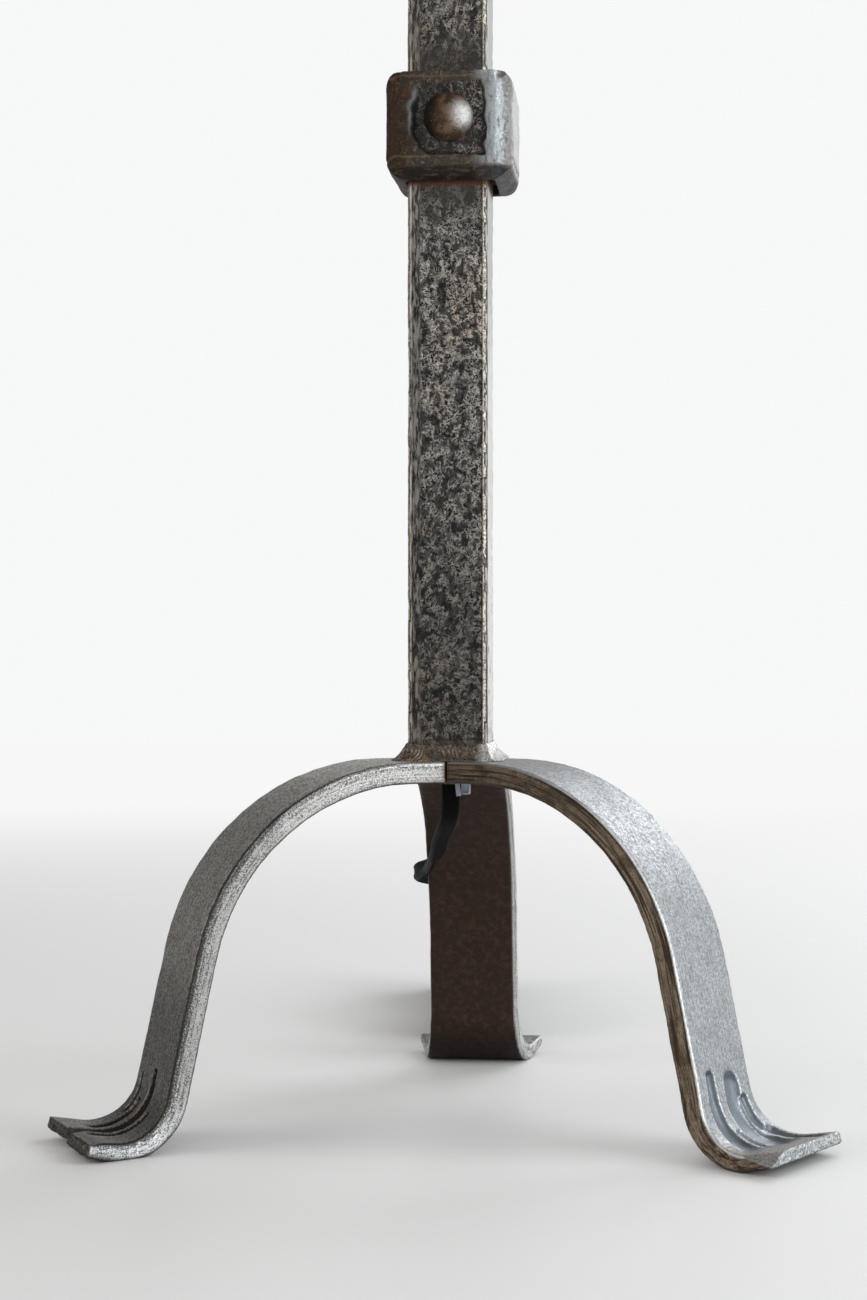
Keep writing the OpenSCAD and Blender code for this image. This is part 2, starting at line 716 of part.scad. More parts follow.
// Switch body: a moulded drum with flats for the terminals and a bore for the shaft
module socket_body() {
    color(black) translate([0, 0, base_z]) difference() {
        translate([0, 0, body_low]) cylinder(r = body_r, h = body_top - body_low);
        for (m = [0, 1]) {
            mirror([m, 0, 0]) translate([terminal_flat, -body_r, body_low - over])
                cube([body_r, 2 * body_r, 14 + over]);
            mirror([m, 0, 0]) translate([terminal_flat - 6, 0, terminal_z]) rotate([0, 90, 0])
                cylinder(d = 3.2, h = body_r);
        }
        translate([0, -6, switch_z]) rotate([90, 0, 0]) cylinder(d = shaft_d + 2 * shaft_gap, h = body_r);
        translate([0, 0, body_low - over]) cylinder(r = 4.5, h = 5);
    }
}

// Rolled thread: one ring to a pitch, each ring half a wave
function thread_wave(r, z0, z1, first) =
    let (n = floor((z1 - z0) / thread_pitch) * 6)
    [for (i = [first:n]) [r + thread_h * cos(i * 60), z0 + i * thread_pitch / 6]];

module screw_shell() {
    out = body_r - 0.1;
    floor_t = 0.8;
    wave = thread_wave(screw_in, body_top + 3, socket_h - 1, 0);
    n = len(wave);
    color(brass) translate([0, 0, base_z]) rotate_extrude() polygon(concat(
        [[6, body_top], [out, body_top], [out, socket_h - 0.5], [screw_in + thread_h, socket_h - 0.5]],
        [for (i = [n - 1:-1:0]) wave[i]],
        [[screw_in + thread_h, body_top + floor_t], [6, body_top + floor_t]]
    ));
}

module centre_contact() {
    color(brass) translate([0, 0, base_z + body_top]) {
        cylinder(r = 4.5, h = 0.8);
        translate([0, 0, 0.8]) cylinder(r1 = 4.5, r2 = 2.5, h = 2);
    }
}

module terminal_screws() {
    for (m = [0, 1]) {
        color(m == 0 ? brass : steel) mirror([m, 0, 0]) translate([terminal_flat, 0, base_z + terminal_z])
            rotate([0, 90, 0]) difference() {
                union() {
                    translate([0, 0, fit_gap]) cylinder(r = 3, h = 2.2);
                    translate([0, 0, -5]) cylinder(d = 3, h = 5 + over);
                }
                translate([-0.4, -4, fit_gap + 1.4]) cube([0.8, 8, 2]);
            }
    }
}

// Two wires from the end of the lead to the terminal screws
module socket_wires() {
    start = base_z + 12;
    z_end = base_z + terminal_z - 4.2;
    for (side = [-1, 1]) {
        path = [
            [side * 1.5, 0, start], [side * 1.5, 0, start + 1.5], [side * 4, 0, start + 3.5],
            [side * 8, 0, start + 4.5], [side * 11, 0, start + 6], [side * 12, 0, start + 8.5],
            [side * 12, 0, z_end]
        ];
        section = [for (a = [0:45:315]) 1.2 * [cos(a), sin(a)]];
        color(side < 0 ? black : steel) loft(sweep_rings(path, [for (p = path) [0, 1, 0]], section));
    }
}

module switch_shaft() {
    color(steel) translate([0, -8, base_z + switch_z]) rotate([90, 0, 0])
        cylinder(d = shaft_d, h = key_y + key_hole - 0.2 - 8);
}

// Turn key: a hub on the shaft and a flat oval grip
module switch_key() {
    color(black) translate([0, -key_y, base_z + switch_z]) rotate([90, 0, 0]) difference() {
        union() {
            cylinder(r = 4.2, h = 4);
            intersection() {
                translate([0, 0, 2]) linear_extrude(key_len - 2) round_square(key_w, 4, 1.6);
                translate([0, 2.5, 0]) rotate([90, 0, 0]) linear_extrude(5)
                    translate([0, key_len / 2 + 1]) round_square(key_w, key_len - 2, 4);
            }
            cylinder(r = 3, h = 8);
        }
        translate([0, 0, -over]) cylinder(d = shaft_d + 2 * fit_gap, h = key_hole + over);
    }
}

// Outline of the glass from its neck to the top of the globe, at a distance inside the outer face
function glass_line(d) =
    let (r = bulb_d / 2 - d, a0 = -48, j = [r * cos(a0), globe_z + r * sin(a0)], n = [glass_neck_r - d, cap_high - 4])
    concat(
        [n, [n[0], cap_high]],
        [for (i = [1:4]) let (f = i / 5)
            [n[0] + (j[0] - n[0]) * pow(f, 1.5), cap_high + (j[1] - cap_high) * f]],
        [for (a = [a0:6:84]) [r * cos(a), globe_z + r * sin(a)]],
        [[0, globe_z + r]]
    );

module bulb_glass() {
    outer = glass_line(0);
    inner = glass_line(glass_t);
    color([0.95, 0.95, 0.92, 0.5]) translate([0, 0, base_z]) rotate_extrude()
        polygon(concat(outer, [for (i = [len(inner) - 1:-1:0]) inner[i]]));
}

module bulb_cap() {
    wall = 0.4;
    wave = thread_wave(bulb_cap_r, body_top + 3 + thread_pitch, cap_high - 3, 3);
    n = len(wave);
    inner = glass_neck_r + fit_gap;
    color(steel) translate([0, 0, base_z]) rotate_extrude() polygon(concat(
        [[7, cap_low], [bulb_cap_r - thread_h, cap_low]], wave,
        [[bulb_cap_r - thread_h, cap_high], [inner, cap_high], [inner, cap_low + wall], [7, cap_low + wall]]
    ));
}

module bulb_insulator() {
    color(black) translate([0, 0, base_z]) rotate_extrude() polygon([
        [0, bulb_low + 1.2], [4.6, bulb_low + 1.2], [9.5, cap_low - fit_gap], [6.6, cap_low - fit_gap],
        [6.6, cap_low + 1.2], [0, cap_low + 1.2]
    ]);
}

module bulb_contact() {
    color(steel) translate([0, 0, base_z + bulb_low]) cylinder(r1 = 3.2, r2 = 4.4, h = 1.1);
}

// Glass foot inside the bulb with the two wires that carry the filament
module bulb_mount() {
    wire_low = cap_high + 22;
    foot_z = cap_high - 4 - fit_gap;
    color([0.9, 0.92, 0.92]) translate([0, 0, base_z]) {
        rotate_extrude() polygon([
            [0, foot_z - 1], [glass_neck_r, foot_z - 1], [glass_neck_r, foot_z], [10.8, foot_z], [8.5, foot_z + 1],
            [5, cap_high + 2], [3, cap_high + 8], [2.6, wire_low], [0, wire_low]
        ]);
        for (side = [-1, 1]) {
            path = [
                [side * 1.2, 0, wire_low - 2], [side * 1.6, 0, wire_low + 3], [side * 8, 0, globe_z - 4],
                [side * 9, 0, globe_z - fit_gap - 0.5]
            ];
            section = [for (a = [0:45:315]) 0.4 * [cos(a), sin(a)]];
            loft(sweep_rings(path, [for (p = path) [0, 1, 0]], section));
        }
    }
}

module bulb_filament() {
    color(steel) translate([0, 0, base_z + globe_z]) rotate([0, 0, 0])
        rotate_extrude(angle = 180) translate([9, 0]) circle(0.5, $fn = 16);
}

// Hub of the spider: a washer that sits on the stud's base
module spider_hub() {
    color(steel) tube(hub_r, stud_d / 2 + run_gap, hub_z, hub_z + hub_t);
}

// Arms of the spider: three wires brazed under the hub's rim, rising to the underside of the upper ring
module shade_spider() {
    ring_r = shade_top_d / 2 - shade_t - ring_d / 2 - fit_gap;
    start_r = stud_base_r + 2;
    low_z = hub_z - fit_gap - ring_d / 2;
    high_z = shade_top - 1.5 * ring_d - fit_gap;
    bend_q = hub_r + 2;
    section = [for (a = [0:45:315]) ring_d / 2 * [cos(a), sin(a)]];
    path = [
        [start_r, 0, low_z], [bend_q - 1.5, 0, low_z], [bend_q + 1.5, 0, low_z + 0.15],
        [ring_r - 4, 0, high_z - 0.15], [ring_r - 1, 0, high_z], [ring_r + 1, 0, high_z]
    ];
    color(steel) for (a = [90, 210, 330]) {
        rotate([0, 0, a]) loft(sweep_rings(path, [for (p = path) [0, 1, 0]], section));
    }
}

module shade_rings() {
    edge = shade_t + ring_d / 2 + fit_gap;
    color(steel) {
        translate([0, 0, shade_top - ring_d / 2]) rotate_extrude()
            translate([shade_top_d / 2 - edge, 0]) circle(d = ring_d, $fn = 24);
        translate([0, 0, shade_low + ring_d / 2]) rotate_extrude()
            translate([shade_bottom_d / 2 - edge - 0.7, 0]) circle(d = ring_d, $fn = 24);
    }
}

module shade_cover() {
    b = shade_bottom_d / 2;
    t = shade_top_d / 2;
    color(linen) rotate_extrude($fn = 96) polygon([
        [b - shade_t, shade_low], [b, shade_low], [t, shade_top], [t - shade_t, shade_top]
    ]);
}

// Binding tape round the outside of both edges
module shade_tape() {
    b = shade_bottom_d / 2 + 0.02;
    t = shade_top_d / 2 + 0.02;
    lean = (b - t) / shade_h;
    color(linen) {
        rotate_extrude($fn = 96) polygon([
            [b, shade_low], [b + tape_t, shade_low],
            [b + tape_t - lean * tape_w, shade_low + tape_w], [b - lean * tape_w, shade_low + tape_w]
        ]);
        rotate_extrude($fn = 96) polygon([
            [t + lean * tape_w, shade_top - tape_w], [t + tape_t + lean * tape_w, shade_top - tape_w],
            [t + tape_t, shade_top], [t, shade_top]
        ]);
    }
}

// Finial: a turned foot and neck under a ball, bored for the stud
module finial() {
    ball_r = finial_d / 2;
    color(iron) translate([0, 0, finial_z]) difference() {
        union() {
            rotate_extrude() polygon([
                [0, 0], [7.5, 0], [7.5, 1.5], [5.6, 3], [4.6, 5.5], [4.6, 9.5], [6, 11], [6, 13], [0, 13]
            ]);
            translate([0, 0, finial_h - ball_r]) sphere(ball_r);
        }
        translate([0, 0, -over])
            cylinder(d = stud_d + 2 * run_gap, h = stud_len - hub_t - run_gap + over + 0.5);
    }
}

// Lead inside the stem, from the exit up through the nipple into the socket
module inner_lead() {
    color(black) translate([0, 0, lead_exit]) linear_extrude(base_z + 11.9 - lead_exit) {
        for (x = [-1, 1]) translate([x * lead_w / 4, 0]) circle(d = lead_t);
        square([lead_w / 2, lead_t * 0.6], center = true);
    }
}

// Cable tie pulled tight round the lead in the mouth of the legs, its head hanging just below
module cable_tie() {
    in_w = lead_w + 2 * fit_gap;
    in_t = lead_t + 2 * fit_gap;
    strap = 0.8;
    color([0.75, 0.8, 0.84]) {
        translate([0, 0, lead_exit - 0.9]) linear_extrude(2.5) difference() {
            round_square(in_w + 2 * strap, in_t + 2 * strap, 1);
            square([in_w, in_t], center = true);
        }
        translate([in_w / 2 + 0.05, -1.6, lead_exit - 4.3]) cube([3.1, 3.2, 4.2]);
        translate([-in_w / 2 - 1.6, -1.2, lead_exit - 2.6]) cube([1.5, 2.4, 2.5]);
    }
}

lead_points = [for (q = lead_route) q[0]];
lead_wide = [for (q = lead_route) q[1]];

// Place a point of the hank on the table
function on_table(p) =
    [hank_at[0] + p[0] * cos(hank_turn) - p[1] * sin(hank_turn),
     hank_at[1] + p[0] * sin(hank_turn) + p[1] * cos(hank_turn), p[2]];

// Half width and layer of each run; even runs go away from the lamp, odd runs come back
function run_r(k) = k % 2 == 1 ? hank_r - hank_step / 2 : k % 4 == 0 ? hank_r : hank_r - hank_step;
function run_level(k, u) = k % 2 == 1 ? (k - 1) / 2 : max(0, k / 2 - 1) + (k < 2 ? 0 : u);
function waist(u) = (1 - cos(360 * u)) / 2;
function run_point(k, u) =
    let (away = k % 2 == 0, side = away ? 1 : -1)
    [side * (run_r(k) - hank_waist * waist(u)),
     away ? hank_run * u : hank_run * (1 - u),
     hank_low + hank_layer * run_level(k, u) + hank_lift * waist(u)];
// Half turn from the end of run k to the start of the next run
function turn_point(k, u) =
    let (away = k % 2 == 0, r = (run_r(k) + run_r(k + 1)) / 2,
         mid = (away ? 1 : -1) * (run_r(k) - r), a = 180 * u)
    [mid + (away ? 1 : -1) * r * cos(a),
     (away ? hank_run : 0) + (away ? 1 : -1) * r * sin(a),
     hank_low + hank_layer * run_level(k, 1)];

// The tube starts and ends with a straight piece as long as the lead is wide
hank_local = concat(
    [[hank_r, -lead_w, hank_low]],
    [for (k = [0:hank_runs - 1]) each concat(
        [for (u = run_stops) run_point(k, u)],
        k < hank_runs - 1 ? [for (i = [1:turn_rings - 1]) turn_point(k, i / turn_rings)] : []
    )],
    [[hank_r, hank_run + lead_w, tail_z]]
);
hank_points = [for (p = hank_local) on_table(p)];
hank_wide = [for (p = hank_points) [0, 0, 1]];

// The lead meets the hank where the first run starts
lead_all = concat(lead_points, [on_table([hank_r, -2 * lead_w, hank_low]), hank_points[0]]);
lead_all_wide = concat(lead_wide, [[0, 0, 1], [0, 0, 1]]);

module lead_drop() {
    color(black) loft(sweep_rings(lead_all, lead_all_wide, lead_section));
}

// Outlines of the hank's rings, and the least distance between rings that are not neighbours
hank_rings = sweep_rings(hank_points, hank_wide, hank_section);
function ring_gap(i, j) = min([for (p = hank_rings[i], q = hank_rings[j]) norm(p - q)]);
function hank_gap() =
    min([for (i = [0:len(hank_points) - 5], j = [i + 4:len(hank_points) - 1])
        if (norm(hank_points[i] - hank_points[j]) < 2 * lead_w) ring_gap(i, j)]);

module lead_hank() {
    echo(least_gap_of_the_hank = hank_gap());
    color(black) loft(hank_rings);
}

// Tail: a last half turn on top of the hank, then back along it into the plug
tail_r = hank_r - hank_step / 4;
tail_mid = hank_r - tail_r;
tail_turn_y = hank_run + 2 * lead_w;
tail_rise = plug_z - tail_z;
tail_local = concat(
    [[[hank_r, hank_run + lead_w, tail_z], [0, 0, 1]]],
    [for (a = [0:22.5:180]) [[tail_mid + tail_r * cos(a), tail_turn_y + tail_r * sin(a), tail_z], [0, 0, 1]]],
    [
        [[-14, hank_run, tail_z], [0, 0, 1]],
        [[-13, hank_run - 10, tail_z + 0.1 * tail_rise], [0.2, 0, 1]],
        [[-9.5, hank_run - 20, tail_z + 0.35 * tail_rise], [0.5, 0, 1]],
        [[-5, hank_run - 29, tail_z + 0.7 * tail_rise], [1, 0, 0.6]],
        [[-1.2, hank_run - 37, tail_z + 0.93 * tail_rise], [1, 0, 0.1]],
        [[0, plug_front + relief_len + 6, plug_z], [1, 0, 0]],
        [[0, plug_front + relief_len, plug_z], [1, 0, 0]]
    ]
);
tail_points = [for (q = tail_local) on_table(q[0])];
tail_wide = [for (q = tail_local)
    [q[1][0] * cos(hank_turn), q[1][0] * sin(hank_turn), q[1][2]]];

module lead_tail() {
    color(black) loft(sweep_rings(tail_points, tail_wide, lead_section));
}

// Flat tie round the waist of the hank
module hank_tie() {
    drawn = waist(run_stops[3]);
    right = run_r(0) - hank_waist * drawn + lead_t / 2 + fit_gap;
    left = run_r(1) - hank_waist * drawn + lead_t / 2 + fit_gap;
    low = hank_lift * drawn - fit_gap;
    high = run_point(hank_runs - 1, run_stops[4])[2] + lead_w / 2 + fit_gap;
    color([0.12, 0.12, 0.12]) translate(on_table([(right - left) / 2, hank_run / 2, (low + high) / 2]))
        rotate([0, 0, hank_turn]) rotate([90, 0, 0]) linear_extrude(tie_w, center = true) difference() {
            round_square(right + left + 2 * tie_t, high - low + 2 * tie_t, 1.5);
            square([right + left, high - low], center = true);
        }
}

// Place a piece of the plug: its own +Y runs from the blades back along the lead
module at_plug() {
    translate(on_table([0, plug_front, plug_z])) rotate([0, 0, hank_turn]) children();
}

module plug_body() {
    grip = 2.2;
    n = 20;
    end_w = plug_w * 0.62;
    body_ring = function (y, w, t) [for (i = [0:n - 1]) let (a = 360 * i / n,
        c = cos(a), s = sin(a))
        [sign(c) * pow(abs(c), 0.45) * w / 2, y, sign(s) * pow(abs(s), 0.45) * t / 2]];
    color(black) at_plug() {
        loft([
            body_ring(-plug_len, plug_w - 2, plug_t - 2),
            body_ring(-plug_len + 1, plug_w, plug_t),
            body_ring(-plug_len * 0.55, plug_w, plug_t),
            body_ring(-plug_len * 0.3, plug_w - grip, plug_t - grip / 2),
            body_ring(-4, end_w, plug_t * 0.85),
            body_ring(0, 11, 9.4),
            body_ring(relief_len * 0.5, 9.4, 7),
            body_ring(relief_len, 7.4, 4.6)
        ]);
    }
}

module plug_blades() {
    color(steel) at_plug() for (side = [-1, 1]) {
        blade_w = side < 0 ? 7.9 : 6.3;
        translate([side * 6.35, -plug_len, 0]) rotate([0, -90, 0]) linear_extrude(1.5, center = true)
            difference() {
                union() {
                    translate([-blade_w / 2, -blade_len + 2]) square([blade_w, blade_len - 2]);
                    translate([-blade_w / 2 + 1.2, -blade_len]) square([blade_w - 2.4, 3]);
                }
                translate([0, -blade_len + 4.5]) circle(1.5);
            }
    }
}

leg_rear();
leg_front_left();
leg_front_right();
seam_welds();
stem_tube();
stem_weld();
collar();
collar_rivet_front();
collar_rivet_back();
stem_cap();
nipple();
nipple_nut();
neck();
harp_saddle();
harp_wire();
harp_stud();
ferrule_left();
ferrule_right();
socket_cap();
socket_shell();
socket_liner();
socket_body();
screw_shell();
centre_contact();
terminal_screws();
socket_wires();
switch_shaft();
switch_key();
bulb_glass();
bulb_cap();
bulb_insulator();
bulb_contact();
bulb_mount();
bulb_filament();
spider_hub();
shade_spider();
shade_rings();
shade_cover();
shade_tape();
finial();
inner_lead();
cable_tie();
lead_drop();
lead_hank();
lead_tail();
hank_tie();
plug_body();
plug_blades();
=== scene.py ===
# %% [markdown]
# # A forged table lamp
# This notebook dresses the solid model of a table lamp: three legs forged from flat bar, a square stem, a
# riveted collar and, above the picture's edge, a socket, a harp and a linen shade. The solid model comes in
# as a fixed frame. It decides where everything is, and nothing in it is moved.

# %% Load the solid model
import math

import bmesh
import bpy
import numpy as np
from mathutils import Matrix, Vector, noise


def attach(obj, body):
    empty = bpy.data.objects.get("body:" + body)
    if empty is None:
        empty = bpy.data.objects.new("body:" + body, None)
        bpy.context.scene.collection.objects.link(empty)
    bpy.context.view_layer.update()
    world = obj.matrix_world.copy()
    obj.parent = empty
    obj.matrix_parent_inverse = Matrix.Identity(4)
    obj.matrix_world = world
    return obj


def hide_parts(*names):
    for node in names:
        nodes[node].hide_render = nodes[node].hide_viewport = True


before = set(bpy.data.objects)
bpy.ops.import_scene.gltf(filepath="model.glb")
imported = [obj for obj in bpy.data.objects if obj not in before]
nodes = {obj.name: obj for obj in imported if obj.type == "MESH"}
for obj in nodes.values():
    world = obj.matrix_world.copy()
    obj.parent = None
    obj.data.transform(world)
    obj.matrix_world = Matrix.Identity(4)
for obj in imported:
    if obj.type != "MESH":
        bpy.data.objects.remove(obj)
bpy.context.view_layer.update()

scene = bpy.context.scene
MM = 0.001

# %% [markdown]
# ## The camera
# The photograph was taken with a long lens, level, from a little to the right of the lamp's middle and a
# little above its legs. Its place was worked out from the legs' mitre, the heels, the toes and the collar.
# A long lens far away gives the calm, almost parallel lines of a product photograph.

# %% Make the camera
TURN = math.radians(5.58)
EYE = Vector((math.sin(TURN), -math.cos(TURN), 0)) * 0.7583
EYE -= Vector((math.cos(TURN), math.sin(TURN), 0)) * 0.00553
EYE.z = 0.1474
camera_data = bpy.data.cameras.new("photo_camera")
camera_data.lens = 66.46
camera_data.sensor_width = 36
camera_data.clip_start = 0.01
camera = bpy.data.objects.new("photo_camera", camera_data)
camera.location = EYE
camera.rotation_euler = (math.radians(90), 0, TURN)
scene.collection.objects.link(camera)
scene.camera = camera
print("camera at", [round(v, 4) for v in EYE])

# %% [markdown]
# ## The lead
# A lamp of this kind has about 1.8 m of flat two-core lead. It drops out of the stem, hooks round the left
# edge of the rear leg and runs down behind it, where the rest is tied in a hank. A flat lead is two round
# cores side by side, so its section is a figure of eight, and it bends across its thin side. A curve with a
# round bevel could not show the groove, so the tube is swept through rings here.

# %% The route of the lead, in millimetres
LEAD_W, LEAD_T = 6.0, 3.0
HANK_AT, HANK_TURN = (-7.2, 161.0), math.radians(4.65)
HANK_RUN, HANK_R, HANK_STEP, HANK_LAYER = 120.0, 15.4, 3.6, 6.5
HANK_WAIST, HANK_LIFT, HANK_LOW, HANK_RUNS = 8.5, 1.3, 3.0, 9
PLUG_Z, PLUG_FRONT, RELIEF = 36.7, 48.0, 24.0
TAIL_Z = HANK_LOW + 4 * HANK_LAYER

drop_route = [
    ((0, 0, 106.2), (1, 0, 0)), ((0, 0, 105), (1, 0, 0)), ((0, 0.35, 102), (1, 0, 0)),
    ((-0.1, 1.5, 98.6), (1, 0, 0)), ((-0.5, 3.5, 95.6), (1, 0, 0)), ((-1.2, 6.3, 93.1), (1, 0, 0)),
    ((-2.2, 9.8, 91), (1, 0, 0)), ((-3.5, 14.7, 88.8), (1, 0, 0.1)), ((-5.6, 24, 85), (1, 0, 0.3)),
    ((-8, 38, 80), (1, 0, 0.6)), ((-11, 52, 76), (0.7, 0, 1)), ((-14, 64, 73), (0.4, 0, 1)),
    ((-17.5, 73, 71), (0, 0, 1)), ((-19, 81, 69.5), (0, 0, 1)), ((-18, 89, 68), (0, 0, 1)),
    ((-13.5, 96, 66), (0.2, 0, 1)), ((-7.5, 100, 62), (0.6, 0, 1)), ((-3.5, 103, 55), (1, 0, 0.4)),
    ((-2, 107, 46), (1, 0, 0)), ((-1.5, 113, 35), (1, 0, 0)), ((-1, 120, 25), (1, 0, 0)),
    ((0.5, 127, 17), (0.8, 0, 0.5)), ((2.9, 133.4, 10.9), (0.4, 0, 0.8)), ((5.8, 139.4, 6.6), (0.1, 0, 1)),
    ((8, 145, 4), (0, 0, 1)),
]


def on_table(x, y, z):
    c, s = math.cos(HANK_TURN), math.sin(HANK_TURN)
    return (HANK_AT[0] + x * c - y * s, HANK_AT[1] + x * s + y * c, z)


def run_radius(k):
    return HANK_R - (HANK_STEP / 2 if k % 2 else 0 if k % 4 == 0 else HANK_STEP)


def run_point(k, u):
    side = -1 if k % 2 else 1
    level = (k - 1) / 2 if k % 2 else max(0, k / 2 - 1) + (u if k > 1 else 0)
    waist = (1 - math.cos(2 * math.pi * u)) / 2
    along = HANK_RUN * (1 - u if k % 2 else u)
    return (side * (run_radius(k) - HANK_WAIST * waist), along, HANK_LOW + HANK_LAYER * level + HANK_LIFT * waist)


def turn_point(k, u):
    side = -1 if k % 2 else 1
    r = (run_radius(k) + run_radius(k + 1)) / 2
    x = side * (run_radius(k) - r) + side * r * math.cos(math.pi * u)
    y = (0 if k % 2 else HANK_RUN) + side * r * math.sin(math.pi * u)
    return (x, y, HANK_LOW + HANK_LAYER * (math.floor(k / 2) if k else 0))


RUN_CUTS, TURN_CUTS = 12, 10
hank_local = [(HANK_R, -2 * LEAD_W, HANK_LOW), (HANK_R, -LEAD_W, HANK_LOW)]
for k in range(HANK_RUNS):
    hank_local += [run_point(k, i / RUN_CUTS) for i in range(RUN_CUTS + 1)]
    if k < HANK_RUNS - 1:
        hank_local += [turn_point(k, i / TURN_CUTS) for i in range(1, TURN_CUTS)]
hank_local.append((HANK_R, HANK_RUN + LEAD_W, TAIL_Z))

tail_r = HANK_R - HANK_STEP / 4
tail_rise = PLUG_Z - TAIL_Z
hank_local += [
    (HANK_R - tail_r + tail_r * math.cos(math.pi * i / TURN_CUTS),
     HANK_RUN + 2 * LEAD_W + tail_r * math.sin(math.pi * i / TURN_CUTS), TAIL_Z)
    for i in range(TURN_CUTS + 1)
]
tail_local = [
    ((-14, HANK_RUN, TAIL_Z), (0, 0, 1)),
    ((-13, HANK_RUN - 10, TAIL_Z + 0.1 * tail_rise), (0.2, 0, 1)),
    ((-9.5, HANK_RUN - 20, TAIL_Z + 0.35 * tail_rise), (0.5, 0, 1)),
    ((-5, HANK_RUN - 29, TAIL_Z + 0.7 * tail_rise), (1, 0, 0.6)),
    ((-1.2, HANK_RUN - 37, TAIL_Z + 0.93 * tail_rise), (1, 0, 0.1)),
    ((0, PLUG_FRONT + RELIEF + 6, PLUG_Z), (1, 0, 0)),
    ((0, PLUG_FRONT + RELIEF, PLUG_Z), (1, 0, 0)),
]
hank = [(on_table(*p), (0, 0, 1)) for p in hank_local]
tail = [(on_table(*p), (w[0], 0, w[2])) for p, w in tail_local]
print("points on the route:", len(drop_route), len(hank), len(tail))

# %% [markdown]
# The hank follows its rule, so it has points enough. In the stretches whose points are listed one by one the
# line is rounded with a Catmull-Rom spline, which passes through every point. The direction of the lead's wide
# side is blended the same way.

# %% Round the stretches whose points are listed one by one
def catmull(a, b, c, d, t):
    return 0.5 * (2 * b + (c - a) * t + (2 * a - 5 * b + 4 * c - d) * t * t + (3 * b - a - 3 * c + d) * t ** 3)


def rounded(pairs, first, last, cuts):
    """Points and wide directions, with extra points between the pairs from first to last."""
    p = [Vector(q[0]) for q in pairs]
    w = [Vector(q[1]).normalized() for q in pairs]
    points, wides = [], []
    for i in range(len(p) - 1):
        for j in range(cuts if first <= i < last else 1):
            t = j / cuts
            ring = [max(0, i - 1), i, i + 1, min(len(p) - 1, i + 2)]
            points.append(catmull(*[p[k] for k in ring], t))
            wides.append(w[i].lerp(w[i + 1], t).normalized())
    return points + [p[-1]], wides + [w[-1]]


drop_line, drop_wide = rounded(drop_route + hank[:3], 1, len(drop_route) + 2, 3)
tail_line, tail_wide = rounded(hank[-3:] + tail, 2, len(tail) + 2, 3)
hank_line = [Vector(p) for p, w in hank[3:-3]]
lead_line = drop_line + hank_line + tail_line
lead_wide = drop_wide + [Vector((0, 0, 1))] * len(hank_line) + tail_wide
lead_length = sum((b - a).length for a, b in zip(lead_line, lead_line[1:])) * MM
print("length of the free lead:", round(lead_length, 3), "m")

# %% [markdown]
# The section has two cores of half the lead's width each. The groove between them is what makes a black
# lead read as two-core lead in the light.

# %% Sweep the lead
def core_section(width, thick, count=7):
    """Outline of two touching cores with a soft groove, anticlockwise."""
    r = width / 4
    half = []
    for i in range(count + 1):
        a = math.radians(-125 + 250 * i / count)
        half.append((r + r * math.cos(a), thick / 2 * math.sin(a)))
    return half + [(-x, -y) for x, y in half]


def sweep(name, line, wide, section):
    """Closed tube of the section along the line, in metres."""
    n, verts, faces = len(section), [], []
    for i, p in enumerate(line):
        d = (line[min(i + 1, len(line) - 1)] - line[max(i - 1, 0)]).normalized()
        u = (wide[i] - d * wide[i].dot(d)).normalized()
        v = d.cross(u)
        verts += [(p + u * x + v * y) * MM for x, y in section]
    for i in range(len(line) - 1):
        for j in range(n):
            k = (j + 1) % n
            faces.append((i * n + j, i * n + k, (i + 1) * n + k, (i + 1) * n + j))
    faces.append(tuple(reversed(range(n))))
    faces.append(tuple(range((len(line) - 1) * n, len(line) * n)))
    mesh = bpy.data.meshes.new(name)
    mesh.from_pydata(verts, [], faces)
    mesh.polygons.foreach_set("use_smooth", [True] * len(mesh.polygons))
    piece = bpy.data.objects.new(name, mesh)
    scene.collection.objects.link(piece)
    return piece


lead = sweep("flat_lead", lead_line, lead_wide, core_section(LEAD_W, LEAD_T))
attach(lead, "lamp")
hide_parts("lead_drop", "lead_hank", "lead_tail")
print("rings of the lead:", len(lead_line))

# %% [markdown]
# ## The legs
# Each leg was forged from flat bar: bent into an arch, drawn down at the heel and spread into a toe with
# flutes hammered into it. The solid model has the bar's line and size, so a copy of its mesh is merged and
# remeshed finely, and every vertex gets its place in the bar's own coordinates: the distance along the bar,
# the distance across it and the distance through it. In these the flutes, hammer marks and worn ridges are
# easy to shape, and the same coordinates carry the mill lines of the finish along the bend.

# %% The line of the bar, in millimetres
LEG_TOP, BAR_W, BAR_T, LEG_FLAT, BEND_R, HEEL_R = 113.0, 30.5, 6.8, 20.0, 68.0, 17.0
TOE_LEN, TOE_W, TOE_T, HEEL_FLAT, FLUTE_LEN = 9.0, 45.0, 3.5, 0.25, 42.0
BEND_A, TOE_RISE = math.radians(77.5), math.radians(12)


def step(value, low, high):
    """Smooth step from 0 at low to 1 at high, for arrays too."""
    t = np.clip((value - low) / (high - low), 0, 1)
    return t * t * (3 - 2 * t)


def toe_thin(u):
    return BAR_T + (TOE_T - BAR_T) * np.clip((u - 0.3) / 0.7, 0, None) ** 1.2


